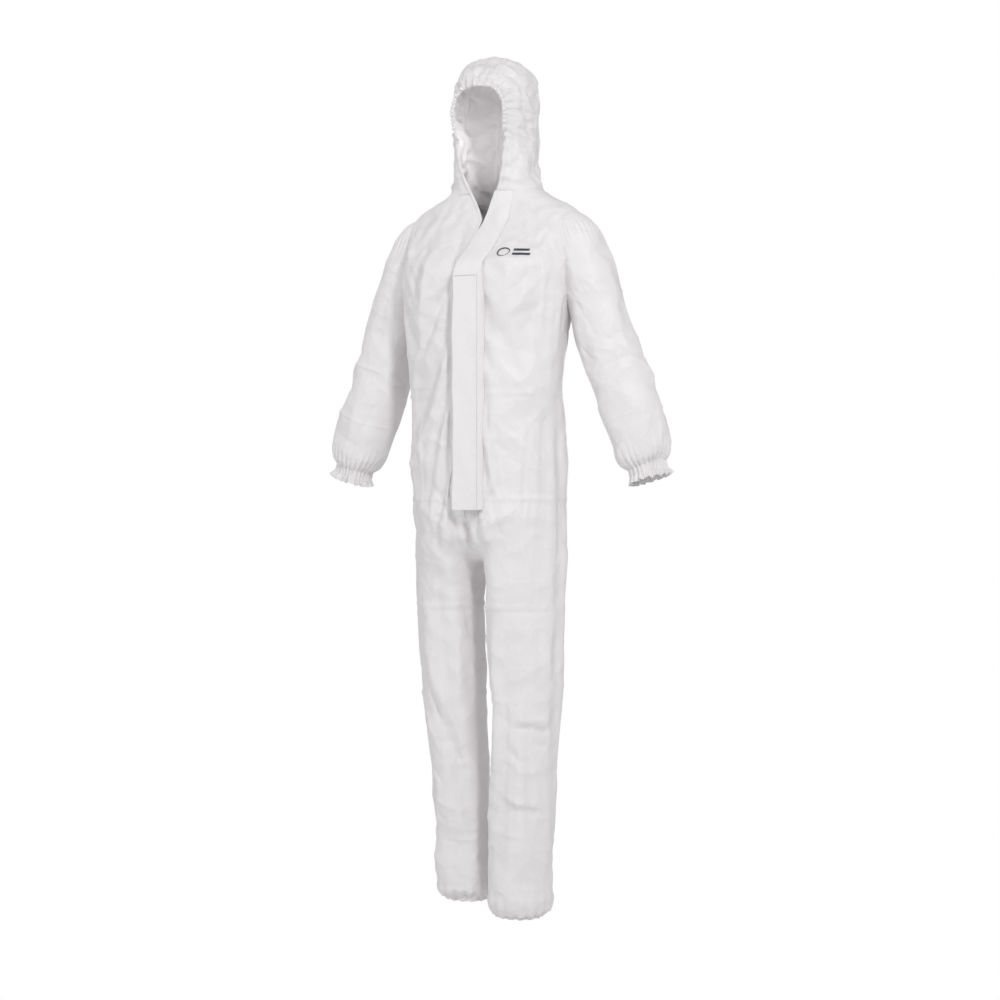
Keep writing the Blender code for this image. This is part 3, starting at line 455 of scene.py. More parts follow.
# Above each ankle the cloth is gathered on to the narrower hem, so it stands out in a soft ruffle.
for word, (side, hem, hem_y) in HEMS.items():
    turn = np.arctan2(points[:, 1] - hem_y, points[:, 0] - side * HEM_SPREAD)
    near = (points[:, 0] * side > 0) * np.exp(-np.maximum(0, points[:, 2] - hem - LEG_END) / 0.026)
    ripple = np.cos(17 * turn + 2.2 * noise_at(points, (12, 12, 3), 21.0 + side))
    lift += near * 0.0028 * ripple
lift *= 1 - ramp(points[:, 2], 1.43, 1.455)
placket = (np.abs(points[:, 0] - 0.012) < 0.042) & (points[:, 1] < -0.05) & (points[:, 2] > 0.79) & (points[:, 2] < 1.32)
lift[placket] = np.clip(lift[placket], -0.004, 0.0012)
beside = np.exp(-(((points[:, 0] + 0.027) / 0.010) ** 2)) * (points[:, 1] < -0.05)
lift -= 0.010 * beside * ramp(points[:, 2], 0.80, 0.86) * (1 - ramp(points[:, 2], 1.33, 1.40))
points += normals * lift[:, None]
under_flap = ramp(0.055 - np.abs(points[:, 0] - 0.014), 0.0, 0.014) * ramp(points[:, 2], 0.79, 0.82) * (points[:, 1] < -0.05)
under_flap *= 1 - ramp(points[:, 2], 1.29, 1.34)
points[:, 1] += under_flap * np.maximum(0, -0.1375 - points[:, 1])
finer.vertices.foreach_set("co", points.ravel())
finer.update()

# The front is open from the zip's foot up: a narrow slit behind the flap, then the open neck.
V_LEVELS = (0.860, 1.290, 1.360, 1.398, 1.430, 1.456, 1.483, 1.506, 1.560)
V_RIGHT = (-0.0075, -0.0075, 0.008, 0.008, -0.008, -0.024, -0.036, -0.043, -0.047)
V_LEFT = (0.0075, 0.0075, 0.018, 0.023, 0.027, 0.030, 0.038, 0.046, 0.052)


def neck_edges(z):
    """The x of both edges of the front opening at a height, wearer's right first."""
    return np.interp(z, V_LEVELS, V_RIGHT), np.interp(z, V_LEVELS, V_LEFT)


def trim(skin, near, planes):
    """Cuts the faces that near() picks along planes, each a point and a normal."""
    for point, normal in planes:
        chosen = [face for face in skin.faces if near(face.calc_center_median())]
        geometry = {*chosen, *(edge for face in chosen for edge in face.edges), *(v for face in chosen for v in face.verts)}
        bmesh.ops.bisect_plane(skin, geom=list(geometry), plane_co=point, plane_no=normal)


def in_front(point):
    """Whether a point is on the front, near the opening."""
    return point.y < NECK_Y and point.z > 0.85 and abs(point.x) < 0.08


skin = bmesh.new()
skin.from_mesh(finer)
planes = [((0, 0, V_LEVELS[0]), (0, 0, 1))]
for edge in (V_RIGHT, V_LEFT):
    for low_z, high_z, low_x, high_x in zip(V_LEVELS, V_LEVELS[1:], edge, edge[1:]):
        band = lambda point, low_z=low_z, high_z=high_z: in_front(point) and low_z - 0.02 < point.z < high_z + 0.02
        trim(skin, band, [((low_x, 0, low_z), (high_z - low_z, 0, low_x - high_x))])
trim(skin, in_front, planes)
inside = []
for face in skin.faces:
    middle = face.calc_center_median()
    right_x, left_x = neck_edges(middle.z)
    if in_front(middle) and middle.z > V_LEVELS[0] and right_x < middle.x < left_x:
        inside.append(face)
bmesh.ops.delete(skin, geom=inside, context="FACES")
# The legs' lower ends turn in to the elastic hems.
rims = [edge for edge in skin.edges if edge.is_boundary and edge.verts[0].co.z < 0.12]
turned = bmesh.ops.extrude_edge_only(skin, edges=rims)["geom"]
for vertex in (item for item in turned if isinstance(item, bmesh.types.BMVert)):
    side, hem, hem_y = HEMS["left" if vertex.co.x > 0 else "right"]
    vertex.co.x = mix(side * HEM_SPREAD, vertex.co.x, 0.80)
    vertex.co.y = mix(hem_y, vertex.co.y, 0.80)
    vertex.co.z -= 0.004
skin.normal_update()
shade = skin.verts.layers.float_vector.new("shade")
for vertex in skin.verts:
    vertex[shade] = vertex.normal
body_surface = BVHTree.FromBMesh(skin)


def stretch_of(name, planes):
    """The stretch of the body on the inner side of some planes, shaded as the whole body is."""
    part = skin.copy()
    for point, normal in planes:
        geometry = [*part.verts, *part.edges, *part.faces]
        bmesh.ops.bisect_plane(part, geom=geometry, plane_co=point, plane_no=normal, clear_outer=True)
    data = bpy.data.meshes.new(name)
    part.to_mesh(data)
    layer = part.verts.layers.float_vector["shade"]
    turned = [Vector(vertex[layer]).normalized() for vertex in part.verts]
    part.free()
    data.shade_smooth()
    data.normals_split_custom_set_from_vertices(turned)
    data.attributes.remove(data.attributes["shade"])
    data.materials.append(laminate)
    piece = bpy.data.objects.new(name, data)
    bpy.context.scene.collection.objects.link(piece)
    return piece


LEG_TOP = 0.800
MID_THIGH = 0.520
trunk_cloth = stretch_of("trunk_cloth", [((0, 0, LEG_TOP), (0, 0, -1))])
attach(trunk_cloth, "trunk")
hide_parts("front_left", "front_right", "seat_panel", "waist_band", "back_panel")
for word, (side, hem, hem_y) in HEMS.items():
    own_side = ((0, 0, 0), (-side, 0, 0))
    thigh = stretch_of("thigh_cloth_" + word, [((0, 0, LEG_TOP), (0, 0, 1)), ((0, 0, MID_THIGH), (0, 0, -1)), own_side])
    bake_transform(thigh)
    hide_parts("hip_" + word, "thigh_" + word)
    shin = stretch_of("shin_cloth_" + word, [((0, 0, MID_THIGH), (0, 0, 1)), own_side])
    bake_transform(shin)
    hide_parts("knee_" + word, "shin_" + word)
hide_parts("crotch_gusset")
bpy.data.objects.remove(body_cloth)

# ---------------------------------------------------------------------------------------------
# The sleeves: set in at the armhole, full as far as the cuff, then gathered on to an elastic channel with
# a short frill beyond it. Each is one skin of rings, cut at mid upper arm where its two stretches meet.
ARM_ANGLE = math.radians(18.5)
ELBOW_AT = 0.275
CUFF_AT = 0.475
CUFF_BAND = 0.016
SLEEVE_END = 0.505
SLEEVE_CUT = 0.200
SLEEVE_PROFILE = [(-0.064, 0.003, 0.006), (-0.061, 0.013, 0.024), (-0.054, 0.023, 0.040), (-0.043, 0.033, 0.052),
                  (-0.025, 0.043, 0.060), (0.000, 0.050, 0.065), (0.060, 0.056, 0.065), (0.150, 0.056, 0.0594),
                  (ELBOW_AT, 0.056, 0.0571), (0.385, 0.0582, 0.0570), (0.440, 0.0555, 0.0545), (0.463, 0.0470, 0.0475),
                  (CUFF_AT, 0.0365, 0.0385), (0.491, 0.0365, 0.0385), (SLEEVE_END, 0.0415, 0.0435)]
SLEEVE_FOLDS = (  # metres along the arm, metres round it from its outer line, twice, height and width in mm
    (0.215, -0.10, 0.290, 0.02, 4.5, 9), (0.240, 0.10, 0.310, 0.00, 4.0, 9), (0.255, -0.09, 0.250, 0.06, -3.5, 7),
    (0.300, -0.08, 0.330, 0.05, -3.5, 8), (0.030, -0.12, 0.130, -0.04, 3.5, 10), (0.020, 0.10, 0.120, 0.04, 3.5, 10),
    (0.060, -0.13, 0.190, -0.09, -3.0, 8), (0.100, 0.00, 0.230, 0.02, 2.5, 9), (0.330, 0.05, 0.430, 0.02, 3.0, 9),
    (0.350, -0.05, 0.450, -0.08, 3.0, 9), (0.340, 0.12, 0.440, 0.10, -3.0, 8), (0.180, -0.05, 0.260, -0.12, 3.0, 9))


def arm_point(side, along, out=0.0, front=0.0):
    """A point by its distance along the arm, outwards from its middle and towards the back."""
    x = side * (0.178 + along * math.sin(ARM_ANGLE) + out * math.cos(ARM_ANGLE))
    return Vector((x, 0.036 + front, 1.355 - along * math.cos(ARM_ANGLE) + out * math.sin(ARM_ANGLE)))


def grid_normals(grid, closed):
    """A normal at each point of a grid of points, from the points round it."""
    down = np.gradient(grid, axis=0)
    if closed:
        across = np.roll(grid, -1, axis=1) - np.roll(grid, 1, axis=1)
    else:
        across = np.gradient(grid, axis=1)
    found = np.cross(across, down)
    return found / (np.linalg.norm(found, axis=2, keepdims=True) + 1e-12)


def grid_piece(name, grid, facing, closed, material, keep=None, flip=False):
    """A piece made from a grid of points, joined round if closed, without the faces that keep leaves out."""
    rows, columns = grid.shape[:2]
    numbers = np.arange(rows * columns).reshape(rows, columns)
    last = columns if closed else columns - 1
    faces = []
    for row in range(rows - 1):
        for column in range(last):
            after = (column + 1) % columns
            if keep is None or keep[row, column]:
                faces.append((numbers[row, column], numbers[row, after], numbers[row + 1, after], numbers[row + 1, column]))
    used = np.unique(np.array(faces))
    moved_to = np.full(rows * columns, -1)
    moved_to[used] = np.arange(len(used))
    faces = moved_to[np.array(faces)]
    data = bpy.data.meshes.new(name)
    data.from_pydata(grid.reshape(-1, 3)[used].tolist(), [], (faces[:, ::-1] if flip else faces).tolist())
    data.shade_smooth()
    if facing is not None:
        data.normals_split_custom_set_from_vertices(facing.reshape(-1, 3)[used].tolist())
    data.materials.append(material)
    piece = bpy.data.objects.new(name, data)
    bpy.context.scene.collection.objects.link(piece)
    return piece


armhole_paths = {}
for word, (side, hem, hem_y) in HEMS.items():
    rows = 262
    columns = 168
    alongs = np.linspace(SLEEVE_PROFILE[0][0], SLEEVE_END, rows)
    turns = np.arange(columns) * 2 * math.pi / columns
    grid = np.zeros((rows, columns, 3))
    for row, along in enumerate(alongs):
        half_out, half_front = smooth_rows(SLEEVE_PROFILE, along)
        center = np.array(arm_point(side, along))
        outwards = np.array(arm_point(side, along, 1.0)) - center
        reach = (np.abs(np.cos(turns)) ** SQUARENESS + np.abs(np.sin(turns)) ** SQUARENESS) ** (-1 / SQUARENESS)
        grid[row] = center + outwards * (half_out * np.cos(turns) * reach)[:, None]
        grid[row, :, 1] += half_front * np.sin(turns) * reach
    facing = grid_normals(grid, True) * -side
    flat_along = np.repeat(alongs, columns)
    flat_turn = np.tile(np.where(turns > math.pi, turns - 2 * math.pi, turns), rows)
    unrolled = np.stack([flat_along, flat_turn * 0.058], axis=1)
    cloud = grid.reshape(-1, 3)
    lift = np.zeros(len(cloud))
    for a_along, a_round, b_along, b_round, tall, wide in SLEEVE_FOLDS:
        slip = 0.012 * side
        lift += crest(unrolled, (a_along + slip, a_round * side, b_along + slip, b_round * side), tall / 1000, wide / 1000)
    lift += crumples(unrolled, (0.0, -0.17), (0.46, 0.17), 90, 31 + side, 0.0024)
    sway = 0.005 * noise_at(cloud, (10, 10, 10), 41.0 + side)
    for level in (0.120, 0.262, 0.372):
        away = np.abs(flat_along - level - sway)
        there = 0.15 + ramp(noise_at(cloud, (8, 8, 1), 95.0 + 7 * level), -0.2, 0.3)
        lift += 0.0020 * there * np.exp(-away / 0.0035)
    lift += 0.0038 * noise_at(np.stack([flat_along * 5, np.cos(flat_turn), np.sin(flat_turn)], axis=1), (1, 1.3, 1.3), 51.0 + side)
    lift += 0.0022 * noise_at(cloud, (26, 26, 16), 55.0 + side)
    lift += 0.0050 * (0.35 - np.abs(noise_at(cloud, (13, 13, 9), 57.0 + side)))
    wander = 1.5 * noise_at(np.stack([np.cos(flat_turn), np.sin(flat_turn), flat_along * 8], axis=1), (2, 2, 1), 61.0 + side)
    pinch = np.exp(-(((flat_along - CUFF_AT) / 0.030) ** 2)) * (flat_along < CUFF_AT) + (flat_along >= CUFF_AT) * 1.0
    lift += pinch * (0.0022 * np.cos(26 * flat_turn + wander) + 0.0008 * np.cos(57 * flat_turn + 2 * wander))
    frill = np.clip((flat_along - CUFF_AT - CUFF_BAND) / (SLEEVE_END - CUFF_AT - CUFF_BAND), 0, 1)
    lift += 0.0045 * frill * np.cos(15 * flat_turn + 1.6 * wander)
    cap = np.exp(-((flat_along + 0.01) / 0.022) ** 2)
    lift += 0.0009 * cap * np.cos(34 * flat_turn + wander)
    lift *= ramp(flat_along, -0.060, -0.020)
    grid = grid + facing * lift.reshape(rows, columns, 1)
    grid[:, :, 0] += side * 0.0035 * np.sin(flat_along * 19 + side).reshape(rows, columns) * ramp(flat_along, 0.05, 0.2).reshape(rows, columns)
    for strip, level in ((0.0012, CUFF_AT), (0.0012, CUFF_AT + CUFF_BAND)):
        grid -= facing * (strip * np.exp(-(((flat_along - level) / 0.0016) ** 2))).reshape(rows, columns, 1)
    facing = grid_normals(grid, True) * -side
    path = []
    high_rows = int(np.searchsorted(alongs, 0.12))
    outside = np.ones((rows, columns), bool)
    for row in range(high_rows):
        for column in range(columns):
            spot, normal, _, distance = body_surface.find_nearest(Vector(grid[row, column]))
            outside[row, column] = (Vector(grid[row, column]) - spot).dot(normal) > -0.004
    for column in range(columns):
        hidden = np.flatnonzero(~outside[:high_rows, column])
        row = int(hidden[-1]) + 1 if len(hidden) else 0
        outside[:row, column] = False
        path.append(grid[row, column] + facing[row, column] * 0.0004)
    armhole_paths[word] = path
    keep = outside[:-1] | outside[1:]
    cut = int(np.searchsorted(alongs, SLEEVE_CUT))
    upper = grid_piece("upper_sleeve_cloth_" + word, grid[: cut + 1], facing[: cut + 1], True, laminate, keep[:cut], side > 0)
    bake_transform(upper)
    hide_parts("shoulder_" + word, "upper_sleeve_" + word)
    lower = grid_piece("forearm_cloth_" + word, grid[cut:], facing[cut:], True, laminate, flip=side > 0)
    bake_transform(lower)
    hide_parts("elbow_" + word, "forearm_" + word, "cuff_elastic_" + word, "cuff_frill_" + word)

# ---------------------------------------------------------------------------------------------
# The hood and the standing collar under it: three panels sewn over the head, gathered round the face
# on elastic. The skin runs down to the neck seam, and its front stays open down to the zip.
FACE_MIDDLE = 1.6065
FACE_HALF = (0.056, 0.0615)
HOOD_PROFILE = [(NECK_SEAM - 0.007, 0.047, 0.1035, 0.0795), (NECK_SEAM + 0.012, 0.044, 0.0940, 0.0795),
                (1.517, 0.037, 0.0820, 0.085), (1.576, 0.033, 0.0815, 0.096), (1.631, 0.033, 0.084, 0.099),
                (1.668, 0.037, 0.0815, 0.096), (1.704, 0.042, 0.0705, 0.084), (1.7256, 0.047, 0.0505, 0.0615),
                (1.7364, 0.051, 0.0265, 0.0325), (1.7395, 0.052, 0.0060, 0.0070)]


def face_gap(x, z):
    """How far a point (x, z) lies outside the opening of the hood. It is negative inside."""
    reach = (np.abs(x / FACE_HALF[0]) ** 2.6 + np.abs((z - FACE_MIDDLE) / FACE_HALF[1]) ** 2.6) ** (1 / 2.6)
    oval_gap = (reach - 1) * FACE_HALF[0]
    right_x, left_x = neck_edges(z)
    open_neck = np.maximum(x - left_x, right_x - x) + np.maximum(0, z - FACE_MIDDLE)
    return np.minimum(oval_gap, open_neck)


rows = 150
columns = 256
climb = np.linspace(0, 1, rows)
levels = HOOD_PROFILE[0][0] + (HOOD_PROFILE[-1][0] - HOOD_PROFILE[0][0]) * np.sin(climb * math.pi / 2) ** 0.9
turns = np.arange(columns) * 2 * math.pi / columns
grid = np.zeros((rows, columns, 3))
for row, z in enumerate(levels):
    middle_y, half_width, half_depth = smooth_rows(HOOD_PROFILE, z)
    reach = (np.abs(np.cos(turns)) ** SQUARENESS + np.abs(np.sin(turns)) ** SQUARENESS) ** (-1 / SQUARENESS)
    grid[row, :, 0] = half_width * np.cos(turns) * reach
    grid[row, :, 1] = middle_y + half_depth * np.sin(turns) * reach
    grid[row, :, 2] = z
facing = -grid_normals(grid, True)
facing *= np.sign((facing * (grid - np.array((0, 0.04, 1.60)))).sum(axis=2, keepdims=True))
cloud = grid.reshape(-1, 3)
in_view = cloud[:, 1] < NECK_Y
gap = np.where(in_view, face_gap(cloud[:, 0], cloud[:, 2]), 0.08)
around = np.arctan2(cloud[:, 2] - FACE_MIDDLE, cloud[:, 0])
wander = 1.6 * noise_at(cloud, (22, 22, 22), 71.0)
face_pull = np.exp(-np.maximum(0, gap) / 0.020) * ramp(cloud[:, 2], 1.525, 1.56)
lift = face_pull * (0.0030 * np.cos(30 * around + wander) + 0.0014 * np.cos(67 * around + 2 * wander))
lift += 0.0040 * noise_at(cloud, (24, 24, 24), 73.0) + 0.0030 * noise_at(cloud, (48, 48, 40), 75.0)
lift -= 0.0050 * (0.5 - np.abs(noise_at(cloud, (17, 17, 17), 77.0))) * ramp(gap, 0.0, 0.02)
side_picture = np.stack([cloud[:, 1] * np.sign(cloud[:, 0]), cloud[:, 2]], axis=1)
lift += crumples(side_picture, (-0.12, 1.47), (0.12, 1.73), 120, 79, 0.0042)
front_picture = cloud[:, [0, 2]]
HOOD_FOLDS = ((0.050, 1.568, 0.084, 1.566, 4.0, 5), (0.052, 1.560, 0.082, 1.553, -4.0, 5), (0.050, 1.552, 0.072, 1.490, 3.5, 7),
              (0.055, 1.550, 0.082, 1.500, -3.5, 6), (0.046, 1.545, 0.050, 1.480, 3.0, 7), (0.075, 1.540, 0.080, 1.475, 3.0, 7),
              (-0.060, 1.600, -0.082, 1.588, -4.0, 6), (-0.060, 1.640, -0.082, 1.622, 3.5, 6), (0.060, 1.640, 0.083, 1.625, 3.5, 6),
              (0.058, 1.610, 0.083, 1.600, -3.0, 6), (0.010, 1.690, 0.025, 1.722, 3.0, 6), (-0.030, 1.690, -0.038, 1.718, 3.0, 6),
              (-0.058, 1.545, -0.060, 1.480, 3.0, 7), (0.062, 1.665, 0.070, 1.690, 3.0, 6))
for ax, az, bx, bz, tall, wide in HOOD_FOLDS:
    lift += (cloud[:, 1] < 0.05) * crest(front_picture, (ax, az, bx, bz), tall / 1000, wide / 1000)
panel_line = np.abs(np.abs(cloud[:, 0]) - 0.033) * (cloud[:, 2] > 1.60) + 1.0 * (cloud[:, 2] <= 1.60) * (cloud[:, 1] < 0.1)
panel_line = np.where(cloud[:, 1] >= 0.1, np.abs(np.abs(cloud[:, 0]) - 0.033), panel_line)
lift += 0.0014 * np.exp(-((panel_line / 0.0022) ** 2)) - 0.0012 * np.exp(-((panel_line - 0.004) / 0.003) ** 2)
lift *= ramp(cloud[:, 2], NECK_SEAM - 0.004, NECK_SEAM + 0.02) * (1 - 0.6 * ramp(cloud[:, 2], 1.728, 1.74))
grid = grid + facing * lift.reshape(rows, columns, 1)
grid[:, :, 2] = np.minimum(grid[:, :, 2], 1.7405)
# Points close to the opening move on to its edge, and the faces inside it are left out.
for turn in range(3):
    gap = np.where(grid[:, :, 1] < NECK_Y, face_gap(grid[:, :, 0], grid[:, :, 2]), 0.08)
    close = np.abs(gap) < 0.0016
    step = 1e-4
    slope_x = (face_gap(grid[:, :, 0] + step, grid[:, :, 2]) - face_gap(grid[:, :, 0] - step, grid[:, :, 2])) / (2 * step)
    slope_z = (face_gap(grid[:, :, 0], grid[:, :, 2] + step) - face_gap(grid[:, :, 0], grid[:, :, 2] - step)) / (2 * step)
    grid[:, :, 0] -= np.where(close, gap * slope_x, 0)
    grid[:, :, 2] -= np.where(close, gap * slope_z, 0)
corners = np.stack([grid[:-1], grid[1:], np.roll(grid, -1, axis=1)[:-1], np.roll(grid, -1, axis=1)[1:]]).mean(axis=0)
keep = (corners[:, :, 1] > NECK_Y) | (face_gap(corners[:, :, 0], corners[:, :, 2]) > 0)
hood_cloth = grid_piece("hood_cloth", grid, None, True, laminate, keep)
hood_surface = BVHTree.FromPolygons([vertex.co for vertex in hood_cloth.data.vertices],
                                    [face.vertices for face in hood_cloth.data.polygons])
crown = bmesh.new()
crown.from_mesh(hood_cloth.data)
top = [edge for edge in crown.edges if edge.is_boundary and edge.verts[0].co.z > 1.735]
bmesh.ops.holes_fill(crown, edges=top, sides=0)
bmesh.ops.recalc_face_normals(crown, faces=crown.faces)
crown.to_mesh(hood_cloth.data)
crown.free()
hood_cloth.data.shade_smooth()
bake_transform(hood_cloth)
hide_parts("hood_left", "hood_middle", "hood_right", "collar")

# ---------------------------------------------------------------------------------------------
# The rolled, elasticated edge of the face opening: a narrow channel of cloth, ruffled all the way round.
FACE_START = math.radians(-30)
FACE_FINISH = math.radians(219)
rows = 520
columns = 16
grid = np.zeros((rows, columns, 3))
for row in range(rows):
    turn = mix(FACE_START, FACE_FINISH, row / (rows - 1))
    reach = (abs(math.cos(turn)) ** 2.6 + abs(math.sin(turn)) ** 2.6) ** (-1 / 2.6)
    x = (FACE_HALF[0] + 0.0005) * math.cos(turn) * reach
    z = FACE_MIDDLE + (FACE_HALF[1] + 0.0005) * math.sin(turn) * reach
    spot, normal, _, _ = hood_surface.find_nearest(Vector((x * 1.03, -0.06, mix(FACE_MIDDLE, z, 1.03))))
    outwards = Vector((x, 0, z - FACE_MIDDLE)).normalized()
    forwards = Vector((0, -1, 0))
    fade = math.sin(math.pi * min(1, 12 * min(row, rows - 1 - row) / rows + 0.15) / 2)
    ruffle = math.cos(row * 0.41) + 0.5 * math.cos(row * 0.93 + 1.3)
    center = Vector((x, spot.y + 0.0004, z)) + forwards * 0.0011 * ruffle * fade
    for column in range(columns):
        angle = 2 * math.pi * column / columns
        swell = fade * (1 + 0.16 * ruffle * math.cos(angle - 0.6))
        grid[row, column] = center + outwards * (0.0042 * swell * math.cos(angle)) + forwards * (0.0026 * swell * math.sin(angle))
face_gather = grid_piece("face_gather", grid, None, True, laminate)
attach(face_gather, "hood")
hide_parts("face_elastic")

# ---------------------------------------------------------------------------------------------
# The elastic hems of the legs: a folded channel, drawn in by elastic, with upright gathers in it.
for word, (side, hem, hem_y) in HEMS.items():
    rows = 34
    columns = 220
    turns = np.arange(columns) * 2 * math.pi / columns
    reach = (np.abs(np.cos(turns)) ** SQUARENESS + np.abs(np.sin(turns)) ** SQUARENESS) ** (-1 / SQUARENESS)
    grid = np.zeros((rows, columns, 3))
    for row in range(rows):
        share = row / (rows - 1)
        z = hem + 0.0012 + share * 0.046
        tuck = 1 - 0.22 * ramp(np.array(share), 0.82, 1.0)
        bulge = 0.0016 * math.sin(math.pi * min(1.0, share / 0.8)) - 0.0018 * math.exp(-(((share - 0.62) / 0.04) ** 2))
        ripple = 0.0017 * np.cos(31 * turns + 2.0 * np.sin(3 * turns + side) + 0.6 * share)
        ripple += 0.0009 * np.cos(53 * turns + 3.0 * np.sin(2 * turns))
        ripple *= 0.5 + 0.8 * abs(share - 0.5)
        grid[row, :, 0] = side * HEM_SPREAD + (0.0468 * tuck + bulge + ripple) * np.cos(turns) * reach
        grid[row, :, 1] = hem_y + (0.0488 * tuck + bulge + ripple) * np.sin(turns) * reach
        grid[row, :, 2] = z + 0.0010 * np.cos(15 * turns + side) * (1 - share)
    hem_cloth = grid_piece("hem_cloth_" + word, grid, None, True, laminate)
    thickness = hem_cloth.modifiers.new("Thickness", "SOLIDIFY")
    thickness.thickness = 0.0012
    thickness.offset = -1
    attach(hem_cloth, "shin_" + word)
    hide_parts("ankle_hem_" + word)

# ---------------------------------------------------------------------------------------------
# The storm flap: a double strip of cloth that covers the zip, sewn along the wearer's left of it. Its
# free edge stands off the front, and its upper stretch crosses the open neck up to the chin.
FLAP_LOW, FLAP_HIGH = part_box("storm_flap")
# The flap's laminate is the body's cloth painted a shade lighter. This is painted light: it brightens the flap, whose
# chin stretch faces up and catches less light. The seams share it.
lightened_flap_laminate = cloth_material("flap_laminate", (0.83, 0.81, 0.82), 0.15, 0.16, 15.0)
STITCH_INSET = 0.007


def strip_piece(name, grid, thickness_m):
    """A strip of cloth from a grid of points, with its real thickness."""
    piece = grid_piece(name, grid, None, False, lightened_flap_laminate)
    thickness = piece.modifiers.new("Thickness", "SOLIDIFY")
    thickness.thickness = thickness_m
    thickness.offset = 0
    return piece


rows = 230
columns = 44
grid = np.zeros((rows, columns, 3))
heights = np.linspace(FLAP_LOW[2], FLAP_HIGH[2], rows)
shares = np.linspace(0, 1, columns)
edge_wave = 0.0011 * np.sin(heights * 21) + 0.0007 * np.sin(heights * 57 + 1)
fade_ends = ramp(heights, FLAP_LOW[2], FLAP_LOW[2] + 0.03) * (1 - ramp(heights, FLAP_HIGH[2] - 0.03, FLAP_HIGH[2]))
for row, z in enumerate(heights):
    x = mix(FLAP_LOW[0], FLAP_HIGH[0], shares) + edge_wave[row] * (1 - shares)
    y = -0.1423 - 0.0016 * fade_ends[row] * (1 - shares) ** 2 * (1 + math.sin(z * 33)) / 2
    y -= 0.0005 * fade_ends[row] * np.sin(z * 40 + 5 * shares) * shares * (1 - shares) * 4
    away = np.abs(x - (FLAP_HIGH[0] - STITCH_INSET))
    y += 0.0006 * np.exp(-((away / 0.0011) ** 2)) * (1 + 0.5 * math.cos(z * 900))
    y -= 0.0004 * np.exp(-(((away - 0.003) / 0.002) ** 2)) * math.cos(z * 330 + 2 * math.sin(z * 90))
    grid[row, :, 0], grid[row, :, 1], grid[row, :, 2] = x, y, z
storm = strip_piece("storm_flap_cloth", grid, 0.0012)
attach(storm, "flap")
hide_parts("storm_flap")


def front_y(surface, x, z):
    """Where a line from the front first meets a surface, or nothing."""
    spot = surface.ray_cast(Vector((x, -0.4, z)), Vector((0, 1, 0)))[0]
    return spot.y if spot else None


# The fold that the flap hangs from: it turns back to the front along the wearer's left edge.
rows = 172
columns = 14
grid = np.zeros((rows, columns, 3))
for row in range(rows):
    z = mix(FLAP_LOW[2], FLAP_HIGH[2] + 0.034, row / (rows - 1))
    back = max(-0.1385, front_y(body_surface, FLAP_HIGH[0] + 0.005, z) or -0.132)
    front = mix(-0.1404, back - 0.0010, float(ramp(np.array(z), FLAP_HIGH[2], FLAP_HIGH[2] + 0.034)))
    for column in range(columns):
        share = column / (columns - 1)
        bow = math.sin(share * math.pi / 2)
        deep = mix(front, back - 0.0002, 1 - math.cos(share * math.pi / 2))
        grid[row, column] = (FLAP_HIGH[0] - 0.0006 + 0.0058 * bow, deep, z)
fold = strip_piece("flap_fold", grid, 0.0009)
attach(fold, "trunk")
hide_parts("flap_base")

# The upper stretch of the flap, up to the seam at the neck.
CHIN_LEVELS = (FLAP_HIGH[2], 1.293, 1.332, 1.372, 1.403, 1.430, 1.457)
CHIN_FREE = (FLAP_LOW[0], -0.008, 0.001, 0.0095, 0.0155, 0.0215, 0.0280)
CHIN_WIDE = (0.052, 0.053, 0.054, 0.052, 0.048, 0.043, 0.036)
rows = 96
columns = 40
grid = np.zeros((rows, columns, 3))
for row in range(rows):
    z = mix(CHIN_LEVELS[0] + 0.0004, CHIN_LEVELS[-1], row / (rows - 1))
    free = float(np.interp(z, CHIN_LEVELS, CHIN_FREE))
    wide = float(np.interp(z, CHIN_LEVELS, CHIN_WIDE))
    rise = min(1.0, (z - CHIN_LEVELS[0]) / 0.10)
    for column in range(columns):
        share = column / (columns - 1)
        x = free + wide * share
        under = front_y(body_surface, max(x, neck_edges(z)[1] + 0.004), z)
        under = under if under is not None else -0.03
        stand = mix(0.0095, 0.0042, rise) * (1 - share**3) + 0.0009
        grid[row, column] = (x, mix(-0.1423, under - stand, min(1.0, rise * 3)) if z < 1.31 else under - stand, z)
grid[0, :, 1] = -0.1423
for turn in range(6):
    grid[1:-1, :, 1] = (grid[:-2, :, 1] + 2 * grid[1:-1, :, 1] + grid[2:, :, 1]) / 4
    grid[:, 1:-1, 1] = (grid[:, :-2, 1] + 2 * grid[:, 1:-1, 1] + grid[:, 2:, 1]) / 4
chin = strip_piece("chin_flap_cloth", grid, 0.0012)
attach(chin, "trunk")
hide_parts("chin_flap")

# A rolled edge follows each side of the open neck, from the zip to the face opening.
for word, edge_sign, edge in (("left", 1, V_LEFT), ("right", -1, V_RIGHT)):
    rows = 150
    columns = 10
    grid = np.zeros((rows, columns, 3))
    line = []
    for row in range(rows):
        z = mix(1.288, 1.562, row / (rows - 1))
        x = float(np.interp(z, V_LEVELS, edge)) + edge_sign * 0.003
        surface = body_surface if z < NECK_SEAM - 0.002 else hood_surface
        found = front_y(surface, x, z)
        line.append((x, found if found is not None else -0.03, z))
    line = np.array(line)
    for turn in range(10):
        line[1:-1] = (line[:-2] + 2 * line[1:-1] + line[2:]) / 4
    for row in range(rows):
        for column in range(columns):
            angle = 2 * math.pi * column / columns
            grid[row, column] = line[row] + np.array((0.0036 * math.cos(angle), -0.0015 * math.sin(angle) - 0.0002, 0))
    neck_edge = grid_piece("neck_edge_" + word, grid, None, True, laminate)
    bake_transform(neck_edge)

# ---------------------------------------------------------------------------------------------
# Seams: overlocked joins, which show from outside as a fine raised line with small puckers.


